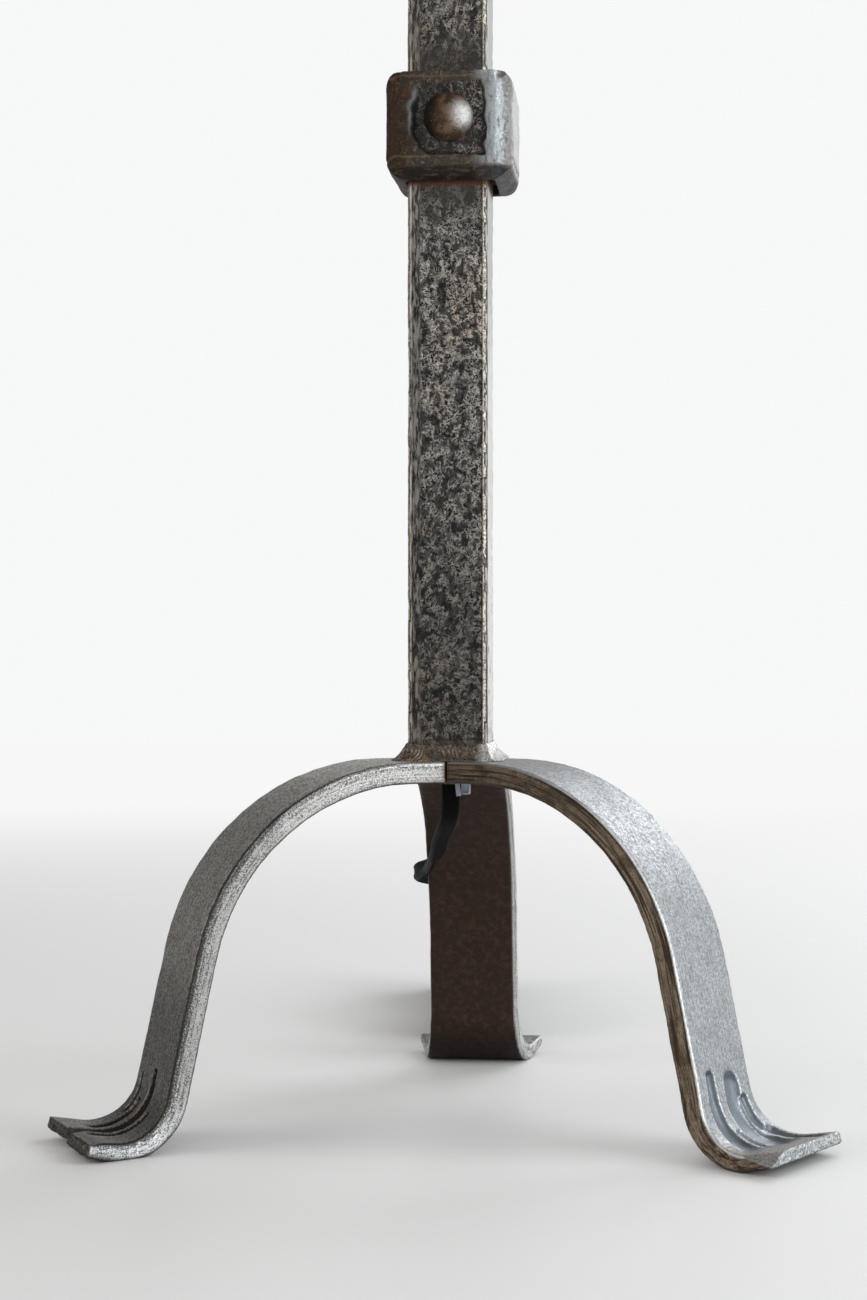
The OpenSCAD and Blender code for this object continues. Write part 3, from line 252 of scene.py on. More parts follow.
mid_top = LEG_TOP - BAR_T / 2
heel_t = float(toe_thin(1 - (HEEL_R * TOE_RISE + TOE_LEN) / FLUTE_LEN))
shin_len = (mid_top + HEEL_FLAT - heel_t / 2 - (BEND_R + HEEL_R) * (1 - math.cos(BEND_A))) / math.sin(BEND_A)
s_bend = LEG_FLAT + BEND_R * BEND_A
s_shin = s_bend + shin_len
s_heel = s_shin + HEEL_R * (BEND_A + TOE_RISE)
s_tip = s_heel + TOE_LEN
s_flute = s_tip - FLUTE_LEN
bend_end = (LEG_FLAT + BEND_R * math.sin(BEND_A), mid_top - BEND_R * (1 - math.cos(BEND_A)))
shin_end = (bend_end[0] + shin_len * math.cos(BEND_A), bend_end[1] - shin_len * math.sin(BEND_A))
heel_mid = (shin_end[0] + HEEL_R * math.sin(BEND_A), shin_end[1] + HEEL_R * math.cos(BEND_A))


def leg_line(s):
    """Distance from the axis, height and slope of the middle of the bar, for an array of places on it."""
    in_bend, in_shin, in_heel = s <= s_bend, s <= s_shin, s <= s_heel
    bend = (s - LEG_FLAT) / BEND_R
    heel = BEND_A - (s - s_shin) / HEEL_R
    toe = s - s_heel
    cases = [s <= LEG_FLAT, in_bend, in_shin, in_heel]
    out = np.select(cases, [
        s, LEG_FLAT + BEND_R * np.sin(bend), bend_end[0] + (s - s_bend) * math.cos(BEND_A),
        heel_mid[0] - HEEL_R * np.sin(heel),
    ], heel_mid[0] + HEEL_R * math.sin(TOE_RISE) + toe * math.cos(TOE_RISE))
    high = np.select(cases, [
        np.full_like(s, mid_top), mid_top - BEND_R * (1 - np.cos(bend)),
        bend_end[1] - (s - s_bend) * math.sin(BEND_A), heel_mid[1] - HEEL_R * np.cos(heel),
    ], heel_mid[1] - HEEL_R * math.cos(TOE_RISE) + toe * math.sin(TOE_RISE))
    slope = np.select(cases, [np.zeros_like(s), bend, np.full_like(s, BEND_A), heel], -TOE_RISE)
    return out, high, slope


def foot_u(s):
    return np.clip((s - s_flute) / FLUTE_LEN, 0, 1)


def half_width(s):
    return (BAR_W + (TOE_W - BAR_W) * foot_u(s) ** 1.6) / 2


def to_bar(place, normal, turn):
    """Bar coordinates of points, and their normals along, across and through the bar."""
    c, n = math.cos(turn), math.sin(turn)
    out, across = place[:, 0] * c + place[:, 1] * n, place[:, 1] * c - place[:, 0] * n
    line_s = np.arange(0, s_tip + 4, 0.5)
    line_out, line_z, line_a = leg_line(line_s)
    near = np.empty(len(place), int)
    for i in range(0, len(place), 4000):
        gap = (out[i:i + 4000, None] - line_out) ** 2 + (place[i:i + 4000, 2, None] - line_z) ** 2
        near[i:i + 4000] = gap.argmin(axis=1)
    a = line_a[near]
    d_out, d_z = out - line_out[near], place[:, 2] - line_z[near]
    n_out = normal[:, 0] * c + normal[:, 1] * n
    facing = (n_out * np.cos(a) - normal[:, 2] * np.sin(a), normal[:, 1] * c - normal[:, 0] * n,
              n_out * np.sin(a) + normal[:, 2] * np.cos(a))
    return line_s[near] + d_out * np.cos(a) - d_z * np.sin(a), across, d_out * np.sin(a) + d_z * np.cos(a), facing


def from_bar(s, across, through, turn):
    out, high, a = leg_line(s)
    out, high = out + through * np.sin(a), high + through * np.cos(a)
    c, n = math.cos(turn), math.sin(turn)
    return np.stack([out * c - across * n, out * n + across * c, high], axis=1)


print("length of the bar:", round(s_tip, 1), "mm")

# %% [markdown]
# The flutes are not the same on any two feet. Each is given by where it starts and ends along the foot, where
# it lies across the foot at both ends, its half width at both ends and its depth. A flute has a round start,
# and two that meet leave a sharp ridge between them.

# %% Flutes of each foot
FLUTES = {
    "leg_front_right": [
        (-0.08, 0.80, -0.50, -0.47, 2.2, 4.0, 1.5), (0.42, 0.84, -0.15, -0.13, 1.6, 2.6, 0.8),
        (-0.05, 0.92, 0.24, 0.26, 3.8, 6.2, 1.7), (0.14, 0.66, 0.62, 0.54, 1.8, 2.6, 1.2),
        (0.46, 0.98, 0.76, 0.72, 2.2, 3.6, 1.5),
    ],
    "leg_front_left": [
        (0.00, 1.50, 0.02, -0.07, 2.0, 4.2, 2.5), (0.34, 0.95, 0.34, 0.26, 1.5, 2.4, 1.6),
        (0.26, 0.86, -0.46, -0.38, 1.6, 2.5, 1.7), (0.06, 0.50, -0.68, -0.64, 1.1, 1.5, 0.7),
    ],
    "leg_rear": [
        (0.05, 1.02, 0.04, 0.02, 3.0, 4.6, 1.6), (0.12, 0.90, -0.55, -0.52, 2.4, 4.0, 1.3),
        (0.18, 0.94, 0.58, 0.55, 2.6, 3.8, 1.3),
    ],
}


def flute_map(s, across, flutes, wander):
    """Depth of the flutes at each point, and how close the point is to a flute's rim."""
    u, half = (s - s_flute) / FLUTE_LEN, half_width(s)
    depth, rim = np.zeros_like(s), np.zeros_like(s)
    for start, end, f0, f1, w0, w1, deep in flutes:
        t = np.clip((u - start) / (end - start), 0, 1)
        wide = (w0 + (w1 - w0) * t) * (1 + 0.12 * wander)
        mid = (f0 + (f1 - f0) * t) * half + 0.35 * wander
        head = np.clip((u - start) * FLUTE_LEN / (1.3 * w0), 0, 1)
        wide = wide * np.sqrt(np.clip(1 - (1 - head) ** 2, 1e-6, 1))
        x = np.abs(across - mid) / wide
        fade = step(head, 0, 0.8) * (1 - step(t, 0.72, 1.0)) * (u < end)
        depth = np.maximum(depth, deep * fade * np.clip(1 - x ** 4, 0, 1))
        ridge = np.exp(-((x - 1.06) * wide / 0.5) ** 2) * step(x, 0.90, 0.97)
        rim = np.maximum(rim, ridge * np.minimum(1, fade * 1.5))
    return depth, rim


# %% [markdown]
# Noise from Blender's own library, always the same for the same place, makes the hammer marks.

# %% Helpers for shaping copies
def cloud(place, size, seed):
    """Noise from -1 to 1 at every point, with marks of about the given size in millimetres."""
    shift = Vector((seed * 13.7, seed * 7.1, seed * 3.3))
    return np.array([noise.noise(Vector(p) / size + shift) for p in place])


def finished(piece):
    """Apply the modifiers of a piece and leave it alone at the origin."""
    bpy.ops.object.select_all(action="DESELECT")
    piece.select_set(True)
    bpy.context.view_layer.objects.active = piece
    for modifier in list(piece.modifiers):
        bpy.ops.object.modifier_apply(modifier=modifier.name)
    bpy.ops.object.transform_apply(location=True, rotation=True, scale=True)
    bpy.ops.object.shade_smooth()


def remeshed(name, source, voxel):
    """Merged copy of a solid model's mesh, remeshed finely."""
    piece = bpy.data.objects.new(name, nodes[source].data.copy())
    scene.collection.objects.link(piece)
    bpy.ops.object.select_all(action="DESELECT")
    piece.select_set(True)
    bpy.context.view_layer.objects.active = piece
    bpy.ops.object.mode_set(mode="EDIT")
    bpy.ops.mesh.select_all(action="SELECT")
    bpy.ops.mesh.remove_doubles(threshold=1e-6)
    bpy.ops.object.mode_set(mode="OBJECT")
    finer = piece.modifiers.new("finer", "REMESH")
    finer.mode, finer.voxel_size = "VOXEL", voxel * MM
    finished(piece)
    return piece


def places(piece):
    """Places in millimetres and normals of a piece's vertices."""
    count = len(piece.data.vertices)
    place, normal = np.empty(count * 3), np.empty(count * 3)
    piece.data.vertices.foreach_get("co", place)
    piece.data.vertices.foreach_get("normal", normal)
    return place.reshape(-1, 3) / MM, normal.reshape(-1, 3)


def put(piece, place):
    piece.data.vertices.foreach_set("co", (place * MM).ravel())
    piece.data.update()


def mark(piece, name, a, b, c):
    """Three numbers at every vertex, for the finish to read."""
    made = piece.data.attributes.new(name, "FLOAT_VECTOR", "POINT")
    made.data.foreach_set("vector", np.stack([a, b, c], axis=1).ravel())


def stand_for(piece, slot, *names, body="lamp"):
    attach(piece, body)
    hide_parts(*names)


print("helpers for shaping ready")

# %% [markdown]
# Near the stem the top of the bar stays flat, because the stem and its weld sit on it. The tip of the left
# toe was hacked off roughly and has a notch; the others are ground.

# %% Shape the three legs
TURNS = {"leg_rear": math.radians(90), "leg_front_left": math.radians(210), "leg_front_right": math.radians(330)}
ROUGH_TIP = {"leg_rear": 0.3, "leg_front_left": 1.3, "leg_front_right": 0.35}
legs = {}
for number, (name, turn) in enumerate(TURNS.items()):
    piece = remeshed("forged_" + name, name, 0.5)
    place, normal = places(piece)
    s, across, through, facing = to_bar(place, normal, turn)
    u, half, thick = foot_u(s), half_width(s), toe_thin(foot_u(s)) / 2
    outer, inner = step(facing[2], 0.3, 0.7), step(-facing[2], 0.3, 0.7)
    rim_side, tip = step(np.abs(facing[1]), 0.45, 0.8), step(facing[0], 0.5, 0.8) * (s > s_flute)
    clear = step(np.hypot(place[:, 0], place[:, 1]), 24, 32)
    broad, small = cloud(place, 13, number + 1), cloud(place, 4.5, number + 5)
    depth, rim = flute_map(s, across, FLUTES[name], cloud(place, 7, number + 9))
    inside = step(half - np.abs(across), 0.2, 1.3)
    level = thick - depth + clear * (0.16 * broad + 0.09 * small)
    through = np.where((facing[2] > 0.3) & (s > s_flute - 8), through + (level - through) * inside * outer, through)
    through = through + clear * (0.16 * broad + 0.09 * small) * (outer * (s <= s_flute - 8) - inner)
    across = across + np.sign(across) * rim_side * clear * (0.22 * broad + 0.1 * small)
    end = step(u, 0.9, 1.0)
    s = s + end * tip * ROUGH_TIP[name] * (0.9 * cloud(place, 3.2, number + 13) + 0.5 * cloud(place, 1.6, number + 17))
    if name == "leg_front_left":
        nick = np.exp(-((across / half + 0.06) / 0.10) ** 2)
        s = s - end * nick * 2.6
        through = through - end * 0.8 * (across > 0) * outer
        through = through - 1.0 * inner * step(u, 0.30, 0.85) * step(across, -4, 6)
        through = np.where(u > 0.9, np.minimum(through, np.maximum(thick - depth, 0.9 - thick)), through)
    if name == "leg_front_right":
        cut_off = 0.3 + 0.40 * (1 - u) * FLUTE_LEN + 0.36 * (half + across)
        through = np.where(u > 0.6, np.minimum(through, cut_off - thick), through)
        through = through - 0.5 * outer * step(s, 66, 68) * step(s, 104, 80) * step(across, half - 6, half - 1)
    place = from_bar(s, across, through, turn)
    place[:, 2] = np.maximum(place[:, 2], 0)
    put(piece, place)
    line_out, line_z, line_a = leg_line(s)
    out = place[:, 0] * math.cos(turn) + place[:, 1] * math.sin(turn)
    seam = np.maximum(0, out) * math.sin(math.radians(60)) - np.abs(across) * 0.5
    corner = step(thick - np.abs(through), 1.0, 0.3) * step(half - np.abs(across), 1.0, 0.3)
    outer_corner = corner * step(through, 0, 1.5)
    mark(piece, "bar", s * MM, across * MM, through * MM)
    mark(piece, "side", outer, inner, rim_side)
    # The flute rims are marked for burnish and a painted highlight, the flute depth for painted shade, and the last
    # number is rust at the mitre. The corner mark carries a painted line along the outer ridge.
    mark(piece, "wear", rim * outer, depth / 1.6 * outer, step(seam, 0.7, 0.2) * (s < 26))
    mark(piece, "end", tip, outer_corner * (across * (1 if name == "leg_front_left" else -1) > 0), u)
    # Painted highlight: a thin light line along one edge of the rear leg's inner face.
    painted_highlight = inner * step(half + across, 1.6, 1.0) * (name == "leg_rear")
    mark(piece, "near", (across < 0) * rim_side, step(through / thick, 0.0, 0.9), painted_highlight)
    stand_for(piece, "iron", name)
    legs[name] = piece
    print(name, "triangles:", 2 * len(piece.data.polygons))

# %% [markdown]
# ## The stem
# The stem is square tube with its skin beaten and pitted all over. One narrow band of the skin is modelled
# and repeated up the stem, so the vertices are spaced evenly, less than a millimetre apart. Its ends are
# turned in and joined inside, and a hole is cut for the rivets.

# %% Model the stem
STEM_W, STEM_R, STEM_LEN, STEM_WALL, BANDS = 25.0, 1.8, 307.0, 2.0, 400
RIVET_X, RIVET_Z, RIVET_HOLE = 0.9, 311.7, 6.2
bpy.ops.object.select_all(action="DESELECT")
bpy.ops.mesh.primitive_plane_add(size=STEM_W * MM, location=(0, 0, LEG_TOP * MM))
stem = bpy.context.object
stem.name = "beaten_stem"
bpy.ops.object.mode_set(mode="EDIT")
bpy.ops.mesh.select_all(action="SELECT")
bpy.ops.mesh.bevel(offset=STEM_R * MM, segments=4, affect="VERTICES")
bpy.ops.mesh.delete(type="ONLY_FACE")
edit = bmesh.from_edit_mesh(stem.data)
for edge in edit.edges:
    edge.select_set(edge.calc_length() > 10 * MM)
bmesh.update_edit_mesh(stem.data)
bpy.ops.mesh.subdivide(number_cuts=27)
bpy.ops.mesh.select_all(action="SELECT")
bpy.ops.mesh.extrude_edges_move(TRANSFORM_OT_translate={"value": (0, 0, STEM_LEN / BANDS * MM)})
bpy.ops.object.mode_set(mode="OBJECT")
repeat = stem.modifiers.new("repeat", "ARRAY")
repeat.count, repeat.use_relative_offset, repeat.use_constant_offset = BANDS, False, True
repeat.constant_offset_displace = (0, 0, STEM_LEN / BANDS * MM)
repeat.use_merge_vertices, repeat.merge_threshold = True, 1e-5
finished(stem)
bpy.ops.object.mode_set(mode="EDIT")
bpy.ops.mesh.select_all(action="DESELECT")
bpy.ops.mesh.select_mode(type="EDGE")
bpy.ops.mesh.select_non_manifold()
bpy.ops.mesh.extrude_edges_move()
bpy.ops.transform.resize(value=((STEM_W - 2 * STEM_WALL) / STEM_W, (STEM_W - 2 * STEM_WALL) / STEM_W, 1))
bpy.ops.mesh.bridge_edge_loops()
bpy.ops.mesh.select_all(action="SELECT")
bpy.ops.mesh.normals_make_consistent(inside=False)
bpy.ops.object.mode_set(mode="OBJECT")

def round_stem(place, normal):
    """Distance from the middle of the face that each point is on, to the right of someone facing it."""
    wide_x = abs(normal[:, 0]) > abs(normal[:, 1])
    return np.where(wide_x, np.sign(normal[:, 0]) * place[:, 1], -np.sign(normal[:, 1]) * place[:, 0])


place, normal = places(stem)
skin = step(np.hypot(normal[:, 0], normal[:, 1]), 0.8, 0.95) * (np.maximum(abs(place[:, 0]), abs(place[:, 1])) > 11.5)
free = skin * step(place[:, 2], LEG_TOP + 1, LEG_TOP + 8) * step(place[:, 2], LEG_TOP + STEM_LEN, LEG_TOP + STEM_LEN - 3)
dent = 0.16 * cloud(place, 3.0, 21) + 0.10 * cloud(place, 1.7, 22) + 0.22 * cloud(place * (1, 1, 0.45), 11, 23)
corner = step(abs(place[:, 0]), 10.6, 11.8) * step(abs(place[:, 1]), 10.6, 11.8)
left_band = step(-round_stem(place, normal), 8.0, 9.3)
dent = dent * (1 - 0.85 * corner) * (1 - 0.7 * left_band) - corner * 0.10 - 0.05
chip = np.exp(-((place[:, 2] - 175.5) / 2.2) ** 2) * step(place[:, 0], 10.5, 12.2) * step(-place[:, 1], 10.5, 12.2)
dent = dent - 0.9 * chip
put(stem, place + normal * (free * dent)[:, None])

bpy.ops.object.select_all(action="DESELECT")
bpy.ops.mesh.primitive_cylinder_add(
    vertices=40, radius=RIVET_HOLE / 2 * MM, depth=40 * MM, location=(RIVET_X * MM, 0, RIVET_Z * MM),
    rotation=(math.radians(90), 0, 0),
)
drill = bpy.context.object
hole = stem.modifiers.new("hole", "BOOLEAN")
hole.operation, hole.object, hole.solver = "DIFFERENCE", drill, "EXACT"
finished(stem)
bpy.data.objects.remove(drill)
place, normal = places(stem)
mark(stem, "skin", round_stem(place, normal) * MM, place[:, 2] * MM, step(normal[:, 0], 0.72, 0.97))
stand_for(stem, "iron", "stem_tube")
print("stem triangles:", sum(len(p.vertices) - 2 for p in stem.data.polygons))

# %% [markdown]
# ## The collar
# The collar was forged round a square mandrel, and a panel was beaten into its front and back. The panel's
# right edge is a deep cut, the left edge has a lip, and the lower edge is ragged. Its surface is set from a
# map of depths. Under the rivet the panel keeps the depth of the solid model.

# %% Shape the collar
COLLAR_MID, COLLAR_HALF, PANEL_DEPTH = 310.0, 19.85, 1.3
PANEL = [(9.6, 10.6), (11.4, 6.8), (11.0, -0.2), (11.8, -6.2), (10.4, -8.6), (10.5, -11.3), (2.0, -11.8),
         (-6.0, -11.1), (-9.6, -8.6), (-10.9, -5.8), (-11.4, 2.8), (-9.9, 7.9), (-8.2, 10.6)]


def outline_gap(u, w, outline):
    """Distance of points from a closed outline, below zero inside, and where on the outline they are."""
    best, where, inside = np.full(len(u), 1e9), np.zeros(len(u)), np.zeros(len(u), bool)
    for i, (a, b) in enumerate(zip(outline, outline[1:] + outline[:1])):
        du, dw = b[0] - a[0], b[1] - a[1]
        t = np.clip(((u - a[0]) * du + (w - a[1]) * dw) / (du * du + dw * dw), 0, 1)
        gap = np.hypot(u - a[0] - t * du, w - a[1] - t * dw)
        where, best = np.where(gap < best, i + t, where), np.minimum(gap, best)
        crosses = (a[1] > w) != (b[1] > w)
        inside ^= crosses & (u < a[0] + (w - a[1]) * du / (dw if dw else 1e-9))
    return np.where(inside, -best, best), where


collar = remeshed("forged_collar", "collar", 0.45)
place, normal = places(collar)
u, w = place[:, 0] - RIVET_X, place[:, 2] - RIVET_Z
outside = np.maximum(abs(u), abs(place[:, 1])) > 14.5
stray, ragged, fine = 1.6 * cloud(place, 5.0, 31), cloud(place, 1.8, 32), cloud(place, 1.1, 33)
faces_out = np.where(np.hypot(u, w) < 5, step(abs(normal[:, 1]), 0.5, 0.8), 1)
front = faces_out * (abs(place[:, 1]) > 17) * step(abs(u), 15.5, 14) * step(abs(w), 15.5, 14)
side = np.where(place[:, 1] < 0, 1, -1)
edge, where = outline_gap(side * u, w, PANEL)
edge = edge + 0.7 * stray + 0.5 * ragged
top = step(w, 6, 9)
sunk = PANEL_DEPTH * (1 - step(edge, -1.1 - 2.2 * top, 0.35 + 0.5 * top))
right_cut = np.exp(-((edge + 0.1) / 0.42) ** 2) * step(side * u, 8, 9.5)
low_cut = np.exp(-((edge + 0.1) / 0.40) ** 2) * step(-w, 7.5, 9) * step(abs(side * u + 2), 0.5, 2.5)
left_cut = np.exp(-((edge + 0.7) / 0.55) ** 2) * step(-side * u, 8.5, 9.8) * step(abs(w), 11, 8)
left_lip = np.exp(-((edge - 0.75) / 0.6) ** 2) * step(-side * u, 9.0, 10.4) * step(abs(w - 2), 8.5, 5)
rough = (1 - step(edge, -1.0, 0.5)) * step(np.hypot(u, w), 8.8, 10) * (0.30 * ragged + 0.14 * fine + 0.12)
cut = sunk + 0.8 * right_cut + 0.45 * left_cut - 0.45 * left_lip + 0.55 * low_cut + rough
level = np.sign(place[:, 1]) * (COLLAR_HALF - cut)
place[:, 1] += (level - place[:, 1]) * front
crease = np.exp(-((place[:, 2] - 298.6 - 0.4 * stray) / 0.6) ** 2) + 0.6 * np.exp(-((place[:, 2] - 325 - 0.4 * stray) / 0.6) ** 2)
dent = 0.26 * cloud(place, 10, 34) + 0.12 * stray + 0.05 * ragged - 0.3 * crease
put(collar, place + normal * (dent * outside * (1 - front))[:, None])
in_panel = front * (1 - step(edge, -0.6, 0.4))
mark(collar, "forge", in_panel, np.maximum.reduce([right_cut, left_cut, low_cut]) * front, left_lip * front)
stand_for(collar, "iron", "collar")
print("collar triangles:", 2 * len(collar.data.polygons))

# %% [markdown]
# The rivet heads were closed with a hammer, which leaves small flats. The weld has the ripples of a bead
# laid in short steps, so its ripples run round the foot of the stem.

# %% Shape the rivets and the weld
for name in ("collar_rivet_front", "collar_rivet_back"):
    piece = remeshed("hammered_" + name, name, 0.35)
    place, normal = places(piece)
    dome = step(abs(place[:, 1]), 18.9, 19.6)
    flats = 0.16 * cloud(place, 3.4, 41) + 0.05 * cloud(place, 1.4, 42)
    put(piece, place + normal * (dome * flats)[:, None])
    stand_for(piece, "rivet", name)

weld = remeshed("rippled_weld", "stem_weld", 0.35)
place, normal = places(weld)
reach = np.maximum(abs(place[:, 0]), abs(place[:, 1]))
proud = step(reach, 12.9, 13.6) * step(place[:, 2], LEG_TOP + 0.2, LEG_TOP + 0.9)
round_way = np.where(abs(place[:, 0]) > abs(place[:, 1]), place[:, 1], place[:, 0])
lag = 1.4 * (reach - 15) ** 2 / 6 + 2.2 * cloud(place, 6, 51)
ripple = np.sin((round_way + lag) * 2 * math.pi / 1.3)
rise = (place[:, 2] - LEG_TOP) / 5.3
strong = step(cloud(place, 5.0, 53) + 0.35 * cloud(place, 2.2, 54), -0.05, 0.3) * step(rise, 0.95, 0.6)
hollow = 0.55 * np.sin(np.clip(rise, 0, 1) * math.pi)
moved = proud * (0.14 * ripple * strong + 0.28 * cloud(place, 2.6, 52) - hollow)
put(weld, place + normal * moved[:, None])
mark(weld, "bead", (ripple * 0.5 + 0.5) * strong, rise, strong)
stand_for(weld, "weld", "stem_weld")
print("weld triangles:", 2 * len(weld.data.polygons))

# %% [markdown]
# A nylon tie holds the lead where it leaves the stem, so that it cannot be pulled back. It is a thin band with
# a small head that has a slot, and a trimmed tail. The band starts as an open cylinder, the head as a cube.

# %% Model the cable tie
TIE_Z, TIE_H, TIE_WALL = 106.55, 2.5, 0.8
bpy.ops.object.select_all(action="DESELECT")
bpy.ops.mesh.primitive_cylinder_add(
    vertices=64, radius=1, depth=TIE_H * MM, end_fill_type="NOTHING", location=(0, 0, TIE_Z * MM))
band = bpy.context.object
band.name = "nylon_tie"
band.scale = (4.15 * MM, 2.65 * MM, 1)
wall = band.modifiers.new("wall", "SOLIDIFY")
bpy.ops.object.transform_apply(location=True, scale=True)
wall.thickness, wall.offset, wall.use_even_offset = TIE_WALL * MM, -1, True
soft = band.modifiers.new("soft", "BEVEL")
soft.width, soft.segments, soft.limit_method = 0.18 * MM, 2, "ANGLE"
finished(band)

bpy.ops.object.select_all(action="DESELECT")
bpy.ops.mesh.primitive_cube_add(size=1, location=(4.75 * MM, -0.1 * MM, 103.9 * MM))
head = bpy.context.object
head.scale = (2.7 * MM, 3.6 * MM, 4.0 * MM)
bpy.ops.object.transform_apply(location=True, scale=True)
bpy.ops.object.mode_set(mode="EDIT")
bpy.ops.mesh.select_all(action="DESELECT")
edit = bmesh.from_edit_mesh(head.data)
for face in edit.faces:
    face.select_set(face.normal.z < -0.9 or face.normal.y < -0.9)
bmesh.update_edit_mesh(head.data)
bpy.ops.mesh.inset(thickness=0.55 * MM, use_individual=True)
bpy.ops.mesh.extrude_faces_move(TRANSFORM_OT_shrink_fatten={"value": -0.7 * MM})
bpy.ops.object.mode_set(mode="OBJECT")
soft = head.modifiers.new("soft", "BEVEL")
soft.width, soft.segments, soft.limit_method = 0.22 * MM, 3, "ANGLE"
finished(head)

bpy.ops.object.select_all(action="DESELECT")
bpy.ops.mesh.primitive_cube_add(size=1, location=(2.4 * MM, -2.15 * MM, 103.7 * MM))
tail = bpy.context.object
tail.scale = (1.5 * MM, 0.8 * MM, 4.6 * MM)
tail.rotation_euler = (0, math.radians(-7), 0)
bpy.ops.object.transform_apply(location=True, rotation=True, scale=True)
soft = tail.modifiers.new("soft", "BEVEL")
soft.width, soft.segments = 0.15 * MM, 2
finished(tail)
bpy.ops.object.select_all(action="DESELECT")
for piece in (tail, head, band):
    piece.select_set(True)
bpy.context.view_layer.objects.active = band
bpy.ops.object.join()
tie = bpy.context.object
bpy.ops.object.shade_smooth_by_angle(angle=math.radians(35))
stand_for(tie, "nylon", "cable_tie")
print("cable tie faces:", len(tie.data.polygons))

# %% [markdown]
# ## Light, floor and background
# The lamp stood in the light of a large window on its right. A broad soft light there gives the bright
# right-hand edges, a weak one on the left keeps the brown side readable, and the floor and the background
# stay pale. The world is white to the camera and through glass. Shiny metal sees it white behind the lamp and
# on the window's side, and dim towards the room on the front and left.

# %% Set up the studio
def lamp_light(name, place, aim, size, power, colour):
    data = bpy.data.lights.new(name, "AREA")
    data.shape, data.size, data.size_y = "RECTANGLE", size[0], size[1]
    data.energy, data.color = power, colour
    light = bpy.data.objects.new(name, data)
    light.location = place
    light.rotation_euler = (Vector(aim) - Vector(place)).to_track_quat("-Z", "Y").to_euler()
    scene.collection.objects.link(light)
    return light


lamp_light("window", (1.3, -0.35, 0.55), (0, 0, 0.25), (1.1, 1.2), 13, (0.93, 0.97, 1.0))
lamp_light("far_window", (0.7, 1.2, 0.9), (0, 0, 0.2), (0.9, 0.8), 9, (0.95, 0.98, 1.0))
lamp_light("left_fill", (-1.4, -0.5, 0.7), (0, 0, 0.2), (1.0, 1.2), 7, (1.0, 0.96, 0.91))
lamp_light("front_fill", (-0.1, -1.9, 0.9), (0, 0, 0.2), (1.4, 0.8), 5, (1.0, 0.98, 0.96))

world = bpy.data.worlds.new("studio")
world.use_nodes = True
scene.world = world
w_tree = world.node_tree
w_back = w_tree.nodes["Background"]
w_ray = w_tree.nodes.new("ShaderNodeLightPath")
w_see = w_tree.nodes.new("ShaderNodeMath")
w_see.operation = "MAXIMUM"
w_way = w_tree.nodes.new("ShaderNodeTexCoord")
w_dot = w_tree.nodes.new("ShaderNodeVectorMath")
w_dot.operation = "DOT_PRODUCT"
w_dot.inputs[1].default_value = (0.8, 0.45, -0.1)
w_room = w_tree.nodes.new("ShaderNodeMapRange")
w_room.interpolation_type = "SMOOTHSTEP"
for socket, value in (("From Min", -0.3), ("From Max", 0.45), ("To Min", 0.12), ("To Max", 0.93)):
    w_room.inputs[socket].default_value = value
w_tree.links.new(w_way.outputs["Generated"], w_dot.inputs[0])
w_tree.links.new(w_dot.outputs["Value"], w_room.inputs["Value"])
w_shine = w_tree.nodes.new("ShaderNodeMix")
w_shine.data_type = "RGBA"
w_shine.inputs["A"].default_value = (0.40, 0.405, 0.41, 1)
w_tree.links.new(w_ray.outputs["Is Glossy Ray"], w_shine.inputs["Factor"])
w_tree.links.new(w_room.outputs["Result"], w_shine.inputs["B"])
w_mix = w_tree.nodes.new("ShaderNodeMix")
w_mix.data_type = "RGBA"
w_mix.inputs["B"].default_value = (0.93, 0.935, 0.94, 1)
w_tree.links.new(w_shine.outputs["Result"], w_mix.inputs["A"])
w_tree.links.new(w_ray.outputs["Is Camera Ray"], w_see.inputs[0])
w_tree.links.new(w_ray.outputs["Is Transmission Ray"], w_see.inputs[1])
w_tree.links.new(w_see.outputs[0], w_mix.inputs["Factor"])
w_tree.links.new(w_mix.outputs["Result"], w_back.inputs["Color"])

bpy.ops.object.select_all(action="DESELECT")
bpy.ops.mesh.primitive_circle_add(vertices=96, radius=3.0, fill_type="NGON", location=(0, 0, -0.0002))
floor = bpy.context.object
floor.name = "floor"
scene.view_settings.view_transform = "Standard"

# %% [markdown]
# ## Helpers for materials
# Every finish below is a small tree of nodes. These helpers make a tree, add a node with its settings in
# one line and link sockets, so that each recipe reads from top to bottom.

